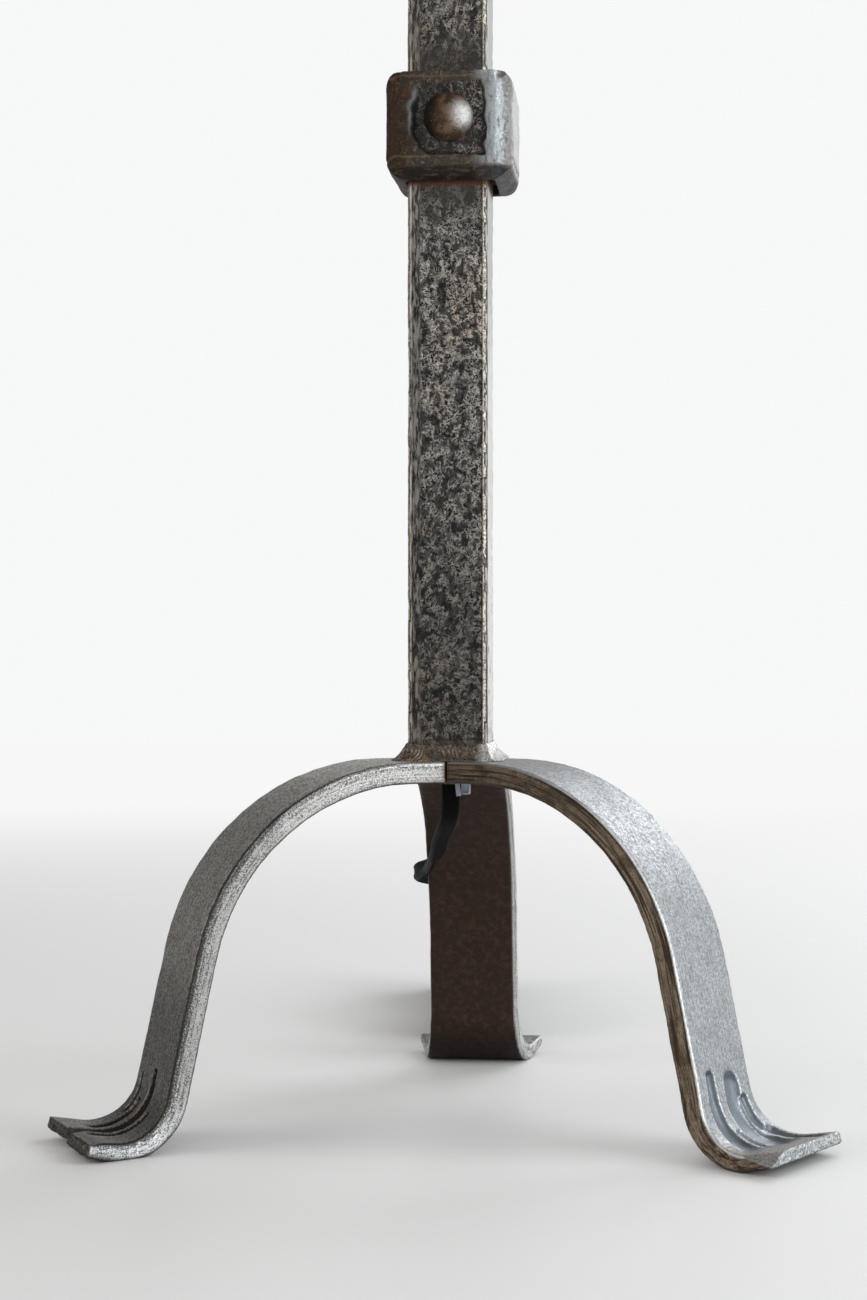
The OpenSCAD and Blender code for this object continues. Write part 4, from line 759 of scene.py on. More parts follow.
# %% Node helpers
class Finish:
    """A material whose nodes are added by name."""

    def __init__(self, name, **constants):
        self.mat = bpy.data.materials.new(name)
        self.mat.use_nodes = True
        self.tree = self.mat.node_tree
        self.shader = self.tree.nodes["Principled BSDF"]
        for socket, value in constants.items():
            self.shader.inputs[socket.replace("_", " ")].default_value = value
        self.coords = self.tree.nodes.new("ShaderNodeTexCoord").outputs["Object"]

    def add(self, kind, links=None, **settings):
        made = self.tree.nodes.new("ShaderNode" + kind)
        for key, value in settings.items():
            if hasattr(made, key):
                setattr(made, key, value)
            else:
                made.inputs[key.replace("_", " ")].default_value = value
        for socket, source in (links or {}).items():
            self.tree.links.new(source, made.inputs[socket])
        return made

    def stretched(self, scale, source=None):
        """Coordinates scaled along each axis."""
        made = self.add("Mapping", {"Vector": source or self.coords})
        made.inputs["Scale"].default_value = scale
        return made.outputs["Vector"]

    def noise(self, scale, detail=4, roughness=0.55, distortion=0.0, source=None):
        made = self.add(
            "TexNoise", {"Vector": source or self.coords}, Scale=scale, Detail=detail,
            Roughness=roughness, Distortion=distortion,
        )
        return made.outputs["Fac"]

    def ramp(self, source, low, high, a=0.0, b=1.0):
        """Smooth step of a value from low..high to a..b."""
        made = self.add("MapRange", {"Value": source}, interpolation_type="SMOOTHSTEP")
        for socket, value in (("From Min", low), ("From Max", high), ("To Min", a), ("To Max", b)):
            made.inputs[socket].default_value = value
        return made.outputs["Result"]

    def blend(self, factor, a, b, kind="MIX"):
        """Mix of two colours, each a tuple or a socket."""
        made = self.add("Mix", {"Factor": factor} if hasattr(factor, "links") else None,
                        data_type="RGBA", blend_type=kind)
        if not hasattr(factor, "links"):
            made.inputs["Factor"].default_value = factor
        for socket, value in (("A", a), ("B", b)):
            if isinstance(value, tuple):
                made.inputs[socket].default_value = (*value, 1)
            else:
                self.tree.links.new(value, made.inputs[socket])
        return made.outputs["Result"]

    def maths(self, operation, a, b=None):
        made = self.add("Math", operation=operation)
        for i, value in enumerate((a, b)):
            if value is None:
                continue
            if hasattr(value, "links"):
                self.tree.links.new(value, made.inputs[i])
            else:
                made.inputs[i].default_value = value
        return made.outputs["Value"]

    def set(self, socket, source):
        self.tree.links.new(source, self.shader.inputs[socket])

    def bump(self, *layers):
        """Stack of bumps, each (height, distance in metres, strength)."""
        normal = None
        for height, distance, strength in layers:
            made = self.add("Bump", {"Height": height}, Distance=distance, Strength=strength)
            if normal is not None:
                self.tree.links.new(normal, made.inputs["Normal"])
            normal = made.outputs["Normal"]
        self.set("Normal", normal)


def wear(piece, finish):
    """Give a piece one finish."""
    piece.data.materials.clear()
    piece.data.materials.append(finish.mat)


print("helpers ready")

# %% [markdown]
# The floor is matt and pale. Far from the lamp it fades to white for the camera, so no horizon shows, and
# close to the lamp it keeps the shadows of the feet.

# %% Finish of the floor
pale = Finish("pale_floor", Roughness=0.55)
pale.shader.inputs["Base Color"].default_value = (0.86, 0.85, 0.84, 1)
far = pale.add("VectorMath", {0: pale.coords}, operation="LENGTH").outputs["Value"]
fade = pale.ramp(far, 0.35, 1.6)
seen = pale.add("LightPath").outputs["Is Camera Ray"]
glow = pale.add("Emission", Strength=0.93)
mixed = pale.add("MixShader", {
    "Fac": pale.maths("MULTIPLY", fade, seen), 1: pale.shader.outputs["BSDF"], 2: glow.outputs["Emission"],
})
pale.tree.links.new(mixed.outputs["Shader"], pale.tree.nodes["Material Output"].inputs["Surface"])
wear(floor, pale)
print("floor finished")

# %% [markdown]
# ## Forged iron
# Hot iron grows a dark scale. The smith brushes and waxes it: the scale stays black in the pits, the high
# spots shine silver, and the wax turns brown where it is thick. The parts share this idea with different
# numbers, and the lit strokes on the stem are thin lines of a noise, because a hammer leaves a net of ridges.
# Light and shade are painted into these colours as well: sides towards the window on the right are painted
# light, sides turned away are painted dark, and edges get painted highlights.

# %% Finish of the legs
def attribute(finish, name):
    """The three numbers that a piece carries at every vertex."""
    made = finish.add("Attribute", attribute_type="GEOMETRY", attribute_name=name)
    split = finish.add("SeparateXYZ", {"Vector": made.outputs["Vector"]})
    return made.outputs["Vector"], split.outputs["X"], split.outputs["Y"], split.outputs["Z"]


# Tones of each leg, set for the light that falls on it: painted light and shade. The right leg, turned to the window,
# gets bluish-grey faces (painted reflection), a bright toe end and a white ridge line, and its near side and foot edge
# are painted dark brown. The left leg's near edge and foot edge are painted bright, and its toe end and ridge line
# dark. The rear leg's sides are painted light. "top" and "low" lighten or darken the bar near its arch and down its
# shin, and "shade" darkens the side next to the ridge.
LEG_LIT_AND_SHADED_TONES = {
    "leg_front_left": dict(
        grain=(0.42, 0.58), dark=(0.12, 0.113, 0.104), light=(0.50, 0.488, 0.465), low=0.42, toe=(0.13, 0.122, 0.11), toe_mix=0.8,
        flute=(0.020, 0.016, 0.013), flute_end=0.8, edge=((0.07, 0.067, 0.064), (0.52, 0.52, 0.505)), shade=1.0,
        near=((0.07, 0.067, 0.064), (0.52, 0.52, 0.505)), foot_edge=(0.74, 0.76, 0.77), line=(0.035, 0.024, 0.016), rim=(0.34, 0.32, 0.285),
        tip=((0.022, 0.019, 0.016), (0.095, 0.085, 0.072)), top=(1.2, 1.35), blunt=0.7),
    "leg_front_right": dict(
        grain=(0.37, 0.63), dark=(0.205, 0.215, 0.225), light=(0.43, 0.45, 0.465), low=1.0, toe=(0.195, 0.187, 0.172), toe_mix=0.9,
        flute=(0.165, 0.188, 0.212), flute_end=0.15, edge=((0.12, 0.115, 0.11), (0.5, 0.5, 0.49)), shade=0.2,
        near=((0.045, 0.033, 0.022), (0.30, 0.235, 0.17)), foot_edge=(0.20, 0.155, 0.115), line=(0.80, 0.80, 0.78), rim=(0.62, 0.635, 0.635),
        tip=((0.17, 0.185, 0.19), (0.60, 0.62, 0.63)), top=(0.66, 0.60), blunt=0.45),
    "leg_rear": dict(
        grain=(0.41, 0.59), dark=(0.14, 0.135, 0.13), light=(0.42, 0.41, 0.395), low=0.7, toe=(0.20, 0.19, 0.175), toe_mix=0.6,
        flute=(0.06, 0.055, 0.05), flute_end=0.4, edge=((0.22, 0.22, 0.22), (0.66, 0.66, 0.65)), shade=0.2,
        near=((0.22, 0.22, 0.22), (0.66, 0.66, 0.65)), foot_edge=(0.6, 0.6, 0.59), line=(0.40, 0.40, 0.39), rim=(0.42, 0.41, 0.39),
        tip=((0.10, 0.095, 0.088), (0.36, 0.35, 0.33)), top=(1.0, 1.0), blunt=0.6),
}


def leg_finish(name, tone):
    f = Finish(name, Specular_IOR_Level=0.25)
    bar, run, across, through = attribute(f, "bar")
    side, outer, inner, edge = attribute(f, "side")
    wear_marks, rim, flute, rust = attribute(f, "wear")
    end, tip, line, u = attribute(f, "end")
    near_marks, near, high, painted_highlight = attribute(f, "near")
    grain = f.noise(1250, 4, 0.72, 0.2)
    patch = f.noise(150, 4, 0.6, 0.4)
    drawn = f.noise(1.0, 3, 0.6, 0.0, f.stretched((110, 1500, 1500), bar))
    mill = f.noise(1.0, 3, 0.65, 0.0, f.stretched((42, 1500, 1500), bar))
    face = f.maths("ADD", f.maths("MULTIPLY", grain, 0.78), f.maths("MULTIPLY", drawn, 0.22))
    shine = f.ramp(face, tone["grain"][0], tone["grain"][1])
    # Painted light and shade along the bar: the face is darkened down the shin by the tone's "low", and lightened or
    # darkened near the arch by "top".
    shin_shade = f.ramp(run, 0.095, 0.140, 1.0, tone["low"])
    worn = f.blend(shine, tone["dark"], tone["light"])
    worn = f.blend(f.maths("MULTIPLY", f.ramp(patch, 0.46, 0.74), 0.30), worn, (0.17, 0.145, 0.12))
    worn = f.blend(1.0, worn, shin_shade, "MULTIPLY")
    worn = f.blend(1.0, worn, f.ramp(run, 0.035, 0.075, tone["top"][0], 1.0), "MULTIPLY")
    toe = f.blend(shine, tuple(0.6 * c for c in tone["toe"]), tuple(1.5 * c for c in tone["toe"]))
    worn = f.blend(f.maths("MULTIPLY", f.ramp(u, tone["blunt"], tone["blunt"] + 0.2), tone["toe_mix"]), worn, toe)
    speckle = f.noise(2400, 4, 0.7, 0.2)
    sides = f.maths("ADD", f.maths("MULTIPLY", speckle, 0.70), f.maths("MULTIPLY", mill, 0.30))
    shaded = f.maths("MULTIPLY", high, f.ramp(run, 0.035, 0.080, 0.3 * tone["shade"], tone["shade"]))
    seen = f.ramp(f.maths("SUBTRACT", sides, f.maths("MULTIPLY", shaded, 0.12)), 0.39, 0.56)
    foot = f.ramp(u, 0.15, 0.55)
    # The sides keep their mill lines, but their tones are painted light and shade: bright where a side faces the
    # window, dark where it faces away, and on the right leg's near side brown wax with painted shade.
    milled_lit_and_shaded = f.blend(seen, tone["edge"][0], f.blend(foot, tone["edge"][1], tone["foot_edge"]))
    brown_and_shaded_near = f.blend(
        f.maths("MULTIPLY", f.ramp(mill, 0.38, 0.60), f.ramp(speckle, 0.36, 0.56, 0.35, 1.0)), tone["near"][0], tone["near"][1])
    brown_and_shaded_near = f.blend(f.maths("MULTIPLY", f.ramp(patch, 0.50, 0.66), 0.6), brown_and_shaded_near, tone["near"][0])
    milled_lit_and_shaded = f.blend(near, milled_lit_and_shaded, brown_and_shaded_near)
    milled_lit_and_shaded = f.blend(1.0, milled_lit_and_shaded, f.ramp(run, 0.035, 0.085, tone["top"][1], 1.0), "MULTIPLY")
    # Undersides: dark scale with painted shade, darkened further towards the foot.
    underside_scale_and_shade = f.blend(f.ramp(f.noise(420, 5, 0.7, 0.5), 0.42, 0.72), (0.028, 0.0135, 0.008), (0.054, 0.030, 0.018))
    underside_scale_and_shade = f.blend(1.0, underside_scale_and_shade, f.ramp(u, 0.05, 0.45, 1.0, 0.3), "MULTIPLY")
    colour = f.blend(edge, worn, milled_lit_and_shaded)
    colour = f.blend(inner, colour, underside_scale_and_shade)
    # The painted highlight on the rear leg's inner face takes the tone of the sides.
    colour = f.blend(f.maths("MULTIPLY", painted_highlight, 0.9), colour, milled_lit_and_shaded)
    # Painted shade in the flutes: their floors are darkened, almost black on the left foot and bluish grey on the right
    # foot.
    flute_floor_shade = f.maths("MULTIPLY", f.ramp(flute, 0.03, 0.22), f.ramp(patch, 0.2, 0.5, 0.7, 0.95))
    flute_floor_shade = f.maths("MULTIPLY", flute_floor_shade, f.ramp(u, 0.90, 0.62, tone["flute_end"], 1.0))
    colour = f.blend(flute_floor_shade, colour, tone["flute"])
    # Toe ends: painted shade on the left toe's end, painted light on the right toe's end.
    tip_light_and_shade_tone = f.blend(f.ramp(grain, 0.4, 0.6), tone["tip"][0], tone["tip"][1])
    colour = f.blend(f.maths("MULTIPLY", tip, 0.85), colour, tip_light_and_shade_tone)
    # Flute rims: burnished ridges with a painted highlight.
    rim_wear_and_highlight = f.maths("MULTIPLY", f.ramp(rim, 0.35, 0.95), f.ramp(grain, 0.38, 0.58, 0.12, 0.85))
    colour = f.blend(rim_wear_and_highlight, colour, tone["rim"])
    # Painted line along the outer ridge: a white highlight on the right leg, a dark line on the left leg.
    painted_edge_line = f.maths("MULTIPLY", f.ramp(line, 0.25, 0.85), f.ramp(run, 0.030, 0.060, 0.25, 0.85))
    colour = f.blend(painted_edge_line, colour, tone["line"])
    colour = f.blend(f.maths("MULTIPLY", rust, f.ramp(grain, 0.3, 0.55)), colour, (0.24, 0.085, 0.03))
    f.set("Base Color", colour)
    bare = f.maths("SUBTRACT", 1.0, f.maths("MAXIMUM", f.maths("MULTIPLY", inner, 0.75), rust))
    f.set("Metallic", f.maths("MULTIPLY", bare, f.ramp(shine, 0.0, 1.0, 0.6, 0.9)))
    f.set("Roughness", f.ramp(face, 0.35, 0.65, 0.60, 0.44))
    f.bump((face, 0.00010, 0.8), (f.maths("MULTIPLY", mill, edge), 0.00015, 0.8), (patch, 0.00025, 0.5))
    return f


for name, piece in legs.items():
    wear(piece, leg_finish(name.replace("leg", "iron"), LEG_LIT_AND_SHADED_TONES[name]))
print("legs finished")

# %% [markdown]
# The stem shows dark pits of two or three millimetres under a light, branching net. The net is where a noise
# is close to its middle value, and it thins out towards the foot. The right-hand face is painted bright and
# metallic where it is seen at a grazing angle, a painted highlight of the window. Each face also gets painted
# light and shade across it: a shaded band on the left, a light line on its left edge, a dark line at the right
# and a light band over the right corner.

# %% Finish of the stem
def net(f, scale, low, high, distortion=0.7):
    """Thin branching lines: 1 where a noise is near its middle."""
    n = f.noise(scale, 4, 0.62, distortion)
    return f.ramp(f.maths("ABSOLUTE", f.maths("SUBTRACT", n, 0.5)), high, low), n


stem_iron = Finish("stem_iron", Specular_IOR_Level=0.2, Coat_Weight=0.6, Coat_Roughness=0.22)
skin, over, up, right_side = attribute(stem_iron, "skin")
# Painted highlight: the right-hand face is made bright and metallic where it is seen at a grazing angle.
along = stem_iron.ramp(stem_iron.add("LayerWeight", Blend=0.5).outputs["Facing"], 0.76, 0.90)
painted_right_highlight = stem_iron.maths("MULTIPLY", right_side, along)
place_xyz = stem_iron.add("SeparateXYZ", {"Vector": stem_iron.coords})
height = place_xyz.outputs["Z"]
wide_net, pits = net(stem_iron, 370, 0.007, 0.038, 0.8)
thin_net, specks = net(stem_iron, 720, 0.007, 0.042, 0.5)
grain = stem_iron.noise(1500, 3, 0.65)
crumbs = stem_iron.noise(1.0, 3, 0.6, 0.6, stem_iron.stretched((900, 900, 480)))
fade = stem_iron.noise(330, 3, 0.6, 0.5)
hollows = stem_iron.noise(1.0, 3, 0.6, 0.4, stem_iron.stretched((310, 310, 220)))
clouds = stem_iron.noise(48, 3, 0.55, 0.4)
streaks = stem_iron.noise(1.0, 3, 0.6, 0.0, stem_iron.stretched((1250, 1250, 230)))
by_collar = stem_iron.maths("MULTIPLY", stem_iron.ramp(height, 0.276, 0.289), stem_iron.ramp(height, 0.344, 0.331))
level = stem_iron.maths("MULTIPLY", stem_iron.ramp(height, 0.13, 0.24, 0.40, 1.0), stem_iron.ramp(height, 0.322, 0.331, 1.0, 0.7))
level = stem_iron.maths("MULTIPLY", level, stem_iron.maths("SUBTRACT", 1.0, stem_iron.maths("MULTIPLY", by_collar, 0.78)))
level = stem_iron.maths("MULTIPLY", level, stem_iron.ramp(over, 0.0060, 0.0098, 1.0, 1.3))
level = stem_iron.maths("MULTIPLY", level, stem_iron.ramp(clouds, 0.35, 0.62, 0.75, 1.1))
# Painted light and shade across each face: a shaded band on the left, a light line on its left edge, a dark line at the
# right and a light band over the right corner.
left_band_shade = stem_iron.ramp(over, -0.0078, -0.0092)
left_edge_highlight = stem_iron.ramp(over, -0.0110, -0.0113)
right_edge_shade_line = stem_iron.maths(
    "MULTIPLY", stem_iron.ramp(over, 0.0104, 0.0106), stem_iron.ramp(over, 0.0110, 0.01085))
right_corner_highlight = stem_iron.ramp(over, 0.0109, 0.0111)
lit = stem_iron.maths("MAXIMUM", wide_net, stem_iron.maths("MULTIPLY", thin_net, 0.8))
lit = stem_iron.maths("MULTIPLY", lit, stem_iron.ramp(fade, 0.38, 0.54, 0.18, 1.0))
lit = stem_iron.maths("MAXIMUM", lit, stem_iron.maths("MULTIPLY", stem_iron.ramp(crumbs, 0.58, 0.70), 0.8))
lit = stem_iron.maths("MULTIPLY", lit, stem_iron.ramp(hollows, 0.52, 0.60, 1.0, 0.06))
lit = stem_iron.maths("MULTIPLY", lit, stem_iron.ramp(grain, 0.30, 0.50, 0.4, 1.0))
lit = stem_iron.maths("MULTIPLY", lit, level)
lit = stem_iron.maths("MULTIPLY", lit, stem_iron.maths("SUBTRACT", 1.0, stem_iron.maths("MULTIPLY", left_band_shade, 0.88)))
lit = stem_iron.maths("MAXIMUM", lit, stem_iron.maths(
    "MULTIPLY", left_band_shade, stem_iron.ramp(streaks, 0.42, 0.62, 0.0, 0.34)))
lit = stem_iron.maths("MAXIMUM", lit, stem_iron.maths(
    "MULTIPLY", left_edge_highlight, stem_iron.ramp(streaks, 0.36, 0.60, 0.15, 0.60)))
lit = stem_iron.maths("MAXIMUM", lit, stem_iron.maths(
    "MULTIPLY", right_corner_highlight, stem_iron.ramp(grain, 0.38, 0.58, 0.25, 1.0)))
painted_edge_line = stem_iron.ramp(streaks, 0.40, 0.60, 0.95, 0.35)
lit = stem_iron.maths("MULTIPLY", lit, stem_iron.maths("SUBTRACT", 1.0, stem_iron.maths("MULTIPLY", right_edge_shade_line, painted_edge_line)))
lit = stem_iron.maths("MAXIMUM", lit, stem_iron.maths(
    "MULTIPLY", painted_right_highlight, stem_iron.ramp(grain, 0.28, 0.46, 0.85, 1.0)))
dull = stem_iron.maths("MULTIPLY", stem_iron.ramp(pits, 0.44, 0.60), stem_iron.ramp(specks, 0.38, 0.56, 0.1, 1.0))
shade_bands = stem_iron.maths("MULTIPLY", stem_iron.maths("MAXIMUM", left_band_shade, right_edge_shade_line), 0.35)
dull = stem_iron.maths("MULTIPLY", dull, stem_iron.maths("SUBTRACT", 1.0, shade_bands))
dull = stem_iron.maths("MAXIMUM", dull, stem_iron.maths("MULTIPLY", by_collar, 0.6))
dark = stem_iron.blend(dull, (0.008, 0.008, 0.009), (0.052, 0.047, 0.040))
light = stem_iron.blend(stem_iron.ramp(clouds, 0.4, 0.65), (0.68, 0.64, 0.58), (0.61, 0.53, 0.43))
# The painted highlights at the edges are cream.
edge_highlight_mask = stem_iron.maths("MAXIMUM", left_edge_highlight, right_corner_highlight)
light = stem_iron.blend(stem_iron.maths("MULTIPLY", edge_highlight_mask, 0.8), light, (0.72, 0.63, 0.51))
# Tone of the painted highlight on the right-hand face, lighter towards the foot.
highlight_tone = stem_iron.blend(stem_iron.ramp(height, 0.19, 0.28), (0.54, 0.545, 0.545), (0.36, 0.365, 0.365))
light = stem_iron.blend(painted_right_highlight, light, highlight_tone)
colour = stem_iron.blend(lit, dark, light)
rust_spots = stem_iron.ramp(stem_iron.noise(190, 3, 0.5, 0.3), 0.71, 0.78)
colour = stem_iron.blend(stem_iron.maths("MULTIPLY", rust_spots, 0.45), colour, (0.16, 0.065, 0.028))
rust_line = stem_iron.maths("MULTIPLY", stem_iron.ramp(height, 0.2908, 0.2926), stem_iron.ramp(height, 0.300, 0.296))
colour = stem_iron.blend(stem_iron.maths("MULTIPLY", rust_line, 0.85), colour, (0.10, 0.036, 0.014))
colour = stem_iron.blend(stem_iron.ramp(height, 0.1205, 0.1175, 0.0, 0.6), colour, (0.075, 0.058, 0.042))
stem_iron.set("Base Color", colour)
stem_iron.set("Metallic", stem_iron.maths("MAXIMUM", stem_iron.ramp(lit, 0.0, 1.0, 0.3, 0.6), painted_right_highlight))
stem_iron.set("Roughness", stem_iron.maths(
    "SUBTRACT", stem_iron.ramp(lit, 0.0, 1.0, 0.62, 0.38),
    stem_iron.maths("MULTIPLY", painted_right_highlight, stem_iron.ramp(height, 0.17, 0.27, 0.2, -0.4))))
high_side = stem_iron.maths("MULTIPLY", painted_right_highlight, stem_iron.ramp(height, 0.17, 0.27, 0.0, 0.97))
coat = stem_iron.ramp(lit, 0.0, 0.5, 0.12, 0.6)
stem_iron.set("Coat Weight", stem_iron.maths("MULTIPLY", coat, stem_iron.maths("SUBTRACT", 1.0, high_side)))
rough_skin = stem_iron.ramp(painted_right_highlight, 0.0, 1.0, 1.0, 0.5)
stem_iron.bump(
    (lit, 0.0002, 0.9), (stem_iron.maths("MULTIPLY", pits, rough_skin), 0.0004, 0.4),
    (stem_iron.maths("MULTIPLY", grain, rough_skin), 0.00008, 0.6))
wear(stem, stem_iron)
print("stem finished")

# %% [markdown]
# The collar's left side is dark brown: brown iron with painted shade on the side away from the window. Its
# right side is painted bright grey, a painted highlight of the window, and the panel keeps its black grain.
# The rounded top and bottom edges get painted light lines, and the lower bevel painted shade.

# %% Finish of the collar and the rivets
collar_iron = Finish("collar_iron", Specular_IOR_Level=0.2)
forge, panel_mark, cut_mark, lip_highlight = attribute(collar_iron, "forge")
place_xyz = collar_iron.add("SeparateXYZ", {"Vector": collar_iron.coords})
lines, pits = net(collar_iron, 480, 0.006, 0.045)
grain = collar_iron.noise(1500, 4, 0.68)
strokes = collar_iron.noise(1.0, 4, 0.6, 0.5, collar_iron.stretched((950, 950, 260)))
patch = collar_iron.noise(95, 4, 0.6, 0.6)
# Painted light and shade by position: the right part is painted bright and metallic, the left part dark brown, and the
# rust sits on the left part too.
painted_right_light = collar_iron.ramp(
    collar_iron.maths("ADD", place_xyz.outputs["X"], collar_iron.maths("MULTIPLY", patch, 0.006)), 0.010, 0.0175)
left_shade_and_rust = collar_iron.ramp(
    collar_iron.maths("ADD", place_xyz.outputs["X"], collar_iron.maths("MULTIPLY", patch, 0.008)), -0.003, -0.012)
lit = collar_iron.maths("MAXIMUM", lines, collar_iron.maths("MULTIPLY", collar_iron.ramp(strokes, 0.54, 0.68), 0.9))
lit = collar_iron.maths("MULTIPLY", lit, collar_iron.ramp(grain, 0.34, 0.58, 0.1, 1.0))
lit = collar_iron.maths("MULTIPLY", lit, collar_iron.ramp(collar_iron.noise(300, 3, 0.6, 0.4), 0.36, 0.60, 0.15, 1.0))
base = collar_iron.blend(left_shade_and_rust, (0.050, 0.042, 0.035), (0.030, 0.017, 0.010))
base = collar_iron.blend(collar_iron.maths("MULTIPLY", panel_mark, 0.75), base, (0.026, 0.024, 0.023))
# The lines in the panel are painted lighter towards the right: painted light.
panel_tan_lit_right = collar_iron.blend(
    collar_iron.ramp(place_xyz.outputs["X"], 0.000, 0.009), (0.25, 0.235, 0.215), (0.52, 0.485, 0.445))
tan = collar_iron.blend(panel_mark, (0.19, 0.145, 0.098), panel_tan_lit_right)
tan = collar_iron.blend(collar_iron.maths("MULTIPLY", left_shade_and_rust, 0.75), tan, (0.085, 0.052, 0.030))
colour = collar_iron.blend(lit, base, tan)
# Painted highlight on the right part: bright grey, brighter from 12.5 mm outwards and painted darker again on the outer
# side. The warm flecks and dark stains are the iron's own.
right_lit_silver = collar_iron.blend(collar_iron.ramp(strokes, 0.30, 0.50), (0.17, 0.18, 0.19), (0.36, 0.395, 0.415))
right_lit_silver = collar_iron.blend(collar_iron.ramp(grain, 0.56, 0.70), right_lit_silver, (0.56, 0.56, 0.54))
right_lit_silver = collar_iron.blend(1.0, right_lit_silver, collar_iron.ramp(place_xyz.outputs["X"], 0.0125, 0.0150, 1.0, 1.35), "MULTIPLY")
warm = collar_iron.ramp(collar_iron.noise(240, 5, 0.75, 0.8), 0.51, 0.60)
right_lit_silver = collar_iron.blend(collar_iron.maths("MULTIPLY", warm, 0.55), right_lit_silver, (0.27, 0.225, 0.175))
stain = collar_iron.ramp(collar_iron.noise(260, 4, 0.65, 1.0), 0.60, 0.70)
right_lit_silver = collar_iron.blend(collar_iron.maths("MULTIPLY", stain, 0.6), right_lit_silver, (0.085, 0.085, 0.09))
outer_side_shade = collar_iron.ramp(place_xyz.outputs["X"], 0.0165, 0.0185)
right_lit_silver = collar_iron.blend(collar_iron.maths("MULTIPLY", outer_side_shade, 0.8), right_lit_silver, (0.16, 0.15, 0.137))
colour = collar_iron.blend(collar_iron.maths("MULTIPLY", painted_right_light, collar_iron.maths("SUBTRACT", 1.0, panel_mark)), colour, right_lit_silver)
rust_patch = collar_iron.ramp(collar_iron.noise(120, 3, 0.5, 0.2), 0.56, 0.70)
colour = collar_iron.blend(
    collar_iron.maths("MULTIPLY", collar_iron.maths("MULTIPLY", rust_patch, left_shade_and_rust), 0.55), colour, (0.16, 0.065, 0.022))
colour = collar_iron.blend(cut_mark, colour, (0.012, 0.011, 0.010))
# Painted highlight: a bluish light line on the lip at the panel's left edge.
colour = collar_iron.blend(collar_iron.maths("MULTIPLY", lip_highlight, collar_iron.ramp(patch, 0.28, 0.52, 0.2, 0.75)), colour, (0.22, 0.24, 0.27))
wave = collar_iron.maths("SUBTRACT", collar_iron.noise(170, 3, 0.6, 0.4), 0.5)
high = collar_iron.maths("ADD", place_xyz.outputs["Z"], collar_iron.maths("MULTIPLY", wave, 0.004))
high = collar_iron.maths("ADD", high, collar_iron.maths("MULTIPLY", grain, 0.0008))
# Painted highlights: light lines along the rounded top and bottom edges.
for line_z, amount in ((0.3272, 0.75), (0.3243, 0.35), (0.2999, 0.35), (0.2968, 0.25)):
    bevel_edge_highlight = collar_iron.maths("MULTIPLY", collar_iron.ramp(high, line_z - 0.0005, line_z), collar_iron.ramp(high, line_z + 0.0006, line_z))
    colour = collar_iron.blend(collar_iron.maths("MULTIPLY", bevel_edge_highlight, amount), colour, (0.24, 0.18, 0.12))
# Painted shade on the lower bevel, dark with horizontal creases.
low_bevel_shade = collar_iron.ramp(place_xyz.outputs["Z"], 0.2975, 0.2960)
creases = collar_iron.noise(1.0, 4, 0.65, 0.6, collar_iron.stretched((230, 230, 1000)))
bevel = collar_iron.blend(collar_iron.ramp(creases, 0.50, 0.64), (0.016, 0.012, 0.010), (0.092, 0.066, 0.045))
colour = collar_iron.blend(collar_iron.maths("MULTIPLY", low_bevel_shade, 0.85), colour, bevel)
collar_iron.set("Base Color", colour)
collar_iron.set("Metallic", collar_iron.maths("MAXIMUM", collar_iron.ramp(lit, 0.0, 1.0, 0.45, 0.7), painted_right_light))
collar_iron.set("Roughness", collar_iron.ramp(lit, 0.0, 1.0, 0.54, 0.42))
collar_iron.bump((lit, 0.00015, 0.8), (pits, 0.0003, 0.4), (grain, 0.00008, 0.5))
wear(collar, collar_iron)

rivet_iron = Finish("rivet_iron", Specular_IOR_Level=0.2)
place_xyz = rivet_iron.add("SeparateXYZ", {"Vector": rivet_iron.coords})
grain = rivet_iron.noise(1500, 4, 0.65)
patch = rivet_iron.noise(260, 4, 0.6, 0.4)
# Painted highlight: a bright grey patch on the front rivet's right side, where the window's light falls. The left half
# of the brown is painted darker: painted shade.
spot = rivet_iron.add("VectorMath", {0: rivet_iron.coords}, operation="DISTANCE")
spot.inputs[1].default_value = ((RIVET_X + 5.2) * MM, -0.0228, (RIVET_Z + 0.2) * MM)
far_off = rivet_iron.maths("SUBTRACT", spot.outputs["Value"], rivet_iron.maths("MULTIPLY", grain, 0.0022))
painted_highlight = rivet_iron.ramp(far_off, 0.0054, 0.0008)
brown = rivet_iron.blend(rivet_iron.ramp(patch, 0.36, 0.62), (0.055, 0.036, 0.024), (0.17, 0.105, 0.058))
brown = rivet_iron.blend(rivet_iron.ramp(place_xyz.outputs["X"], 0.000, -0.0045), brown, (0.016, 0.010, 0.006))
highlight_tone = rivet_iron.blend(rivet_iron.ramp(grain, 0.36, 0.60), (0.38, 0.375, 0.365), (0.56, 0.56, 0.55))
colour = rivet_iron.blend(painted_highlight, brown, highlight_tone)
colour = rivet_iron.blend(rivet_iron.maths("MULTIPLY", rivet_iron.ramp(grain, 0.58, 0.68), 0.28), colour, (0.36, 0.31, 0.25))
rivet_iron.set("Base Color", colour)
rivet_iron.set("Metallic", rivet_iron.ramp(painted_highlight, 0.0, 1.0, 0.65, 0.95))
rivet_iron.set("Roughness", rivet_iron.ramp(patch, 0.35, 0.65, 0.64, 0.56))
rivet_iron.bump((grain, 0.00006, 0.6), (patch, 0.0002, 0.4))
for name in ("collar_rivet_front", "collar_rivet_back"):
    wear(scene.objects["hammered_" + name], rivet_iron)
print("collar and rivets finished")

# %% [markdown]
# Welding leaves heat colours, straw and bronze, between dark ripples. The right-hand part of the weld is
# painted silvery grey, a painted highlight of the window.

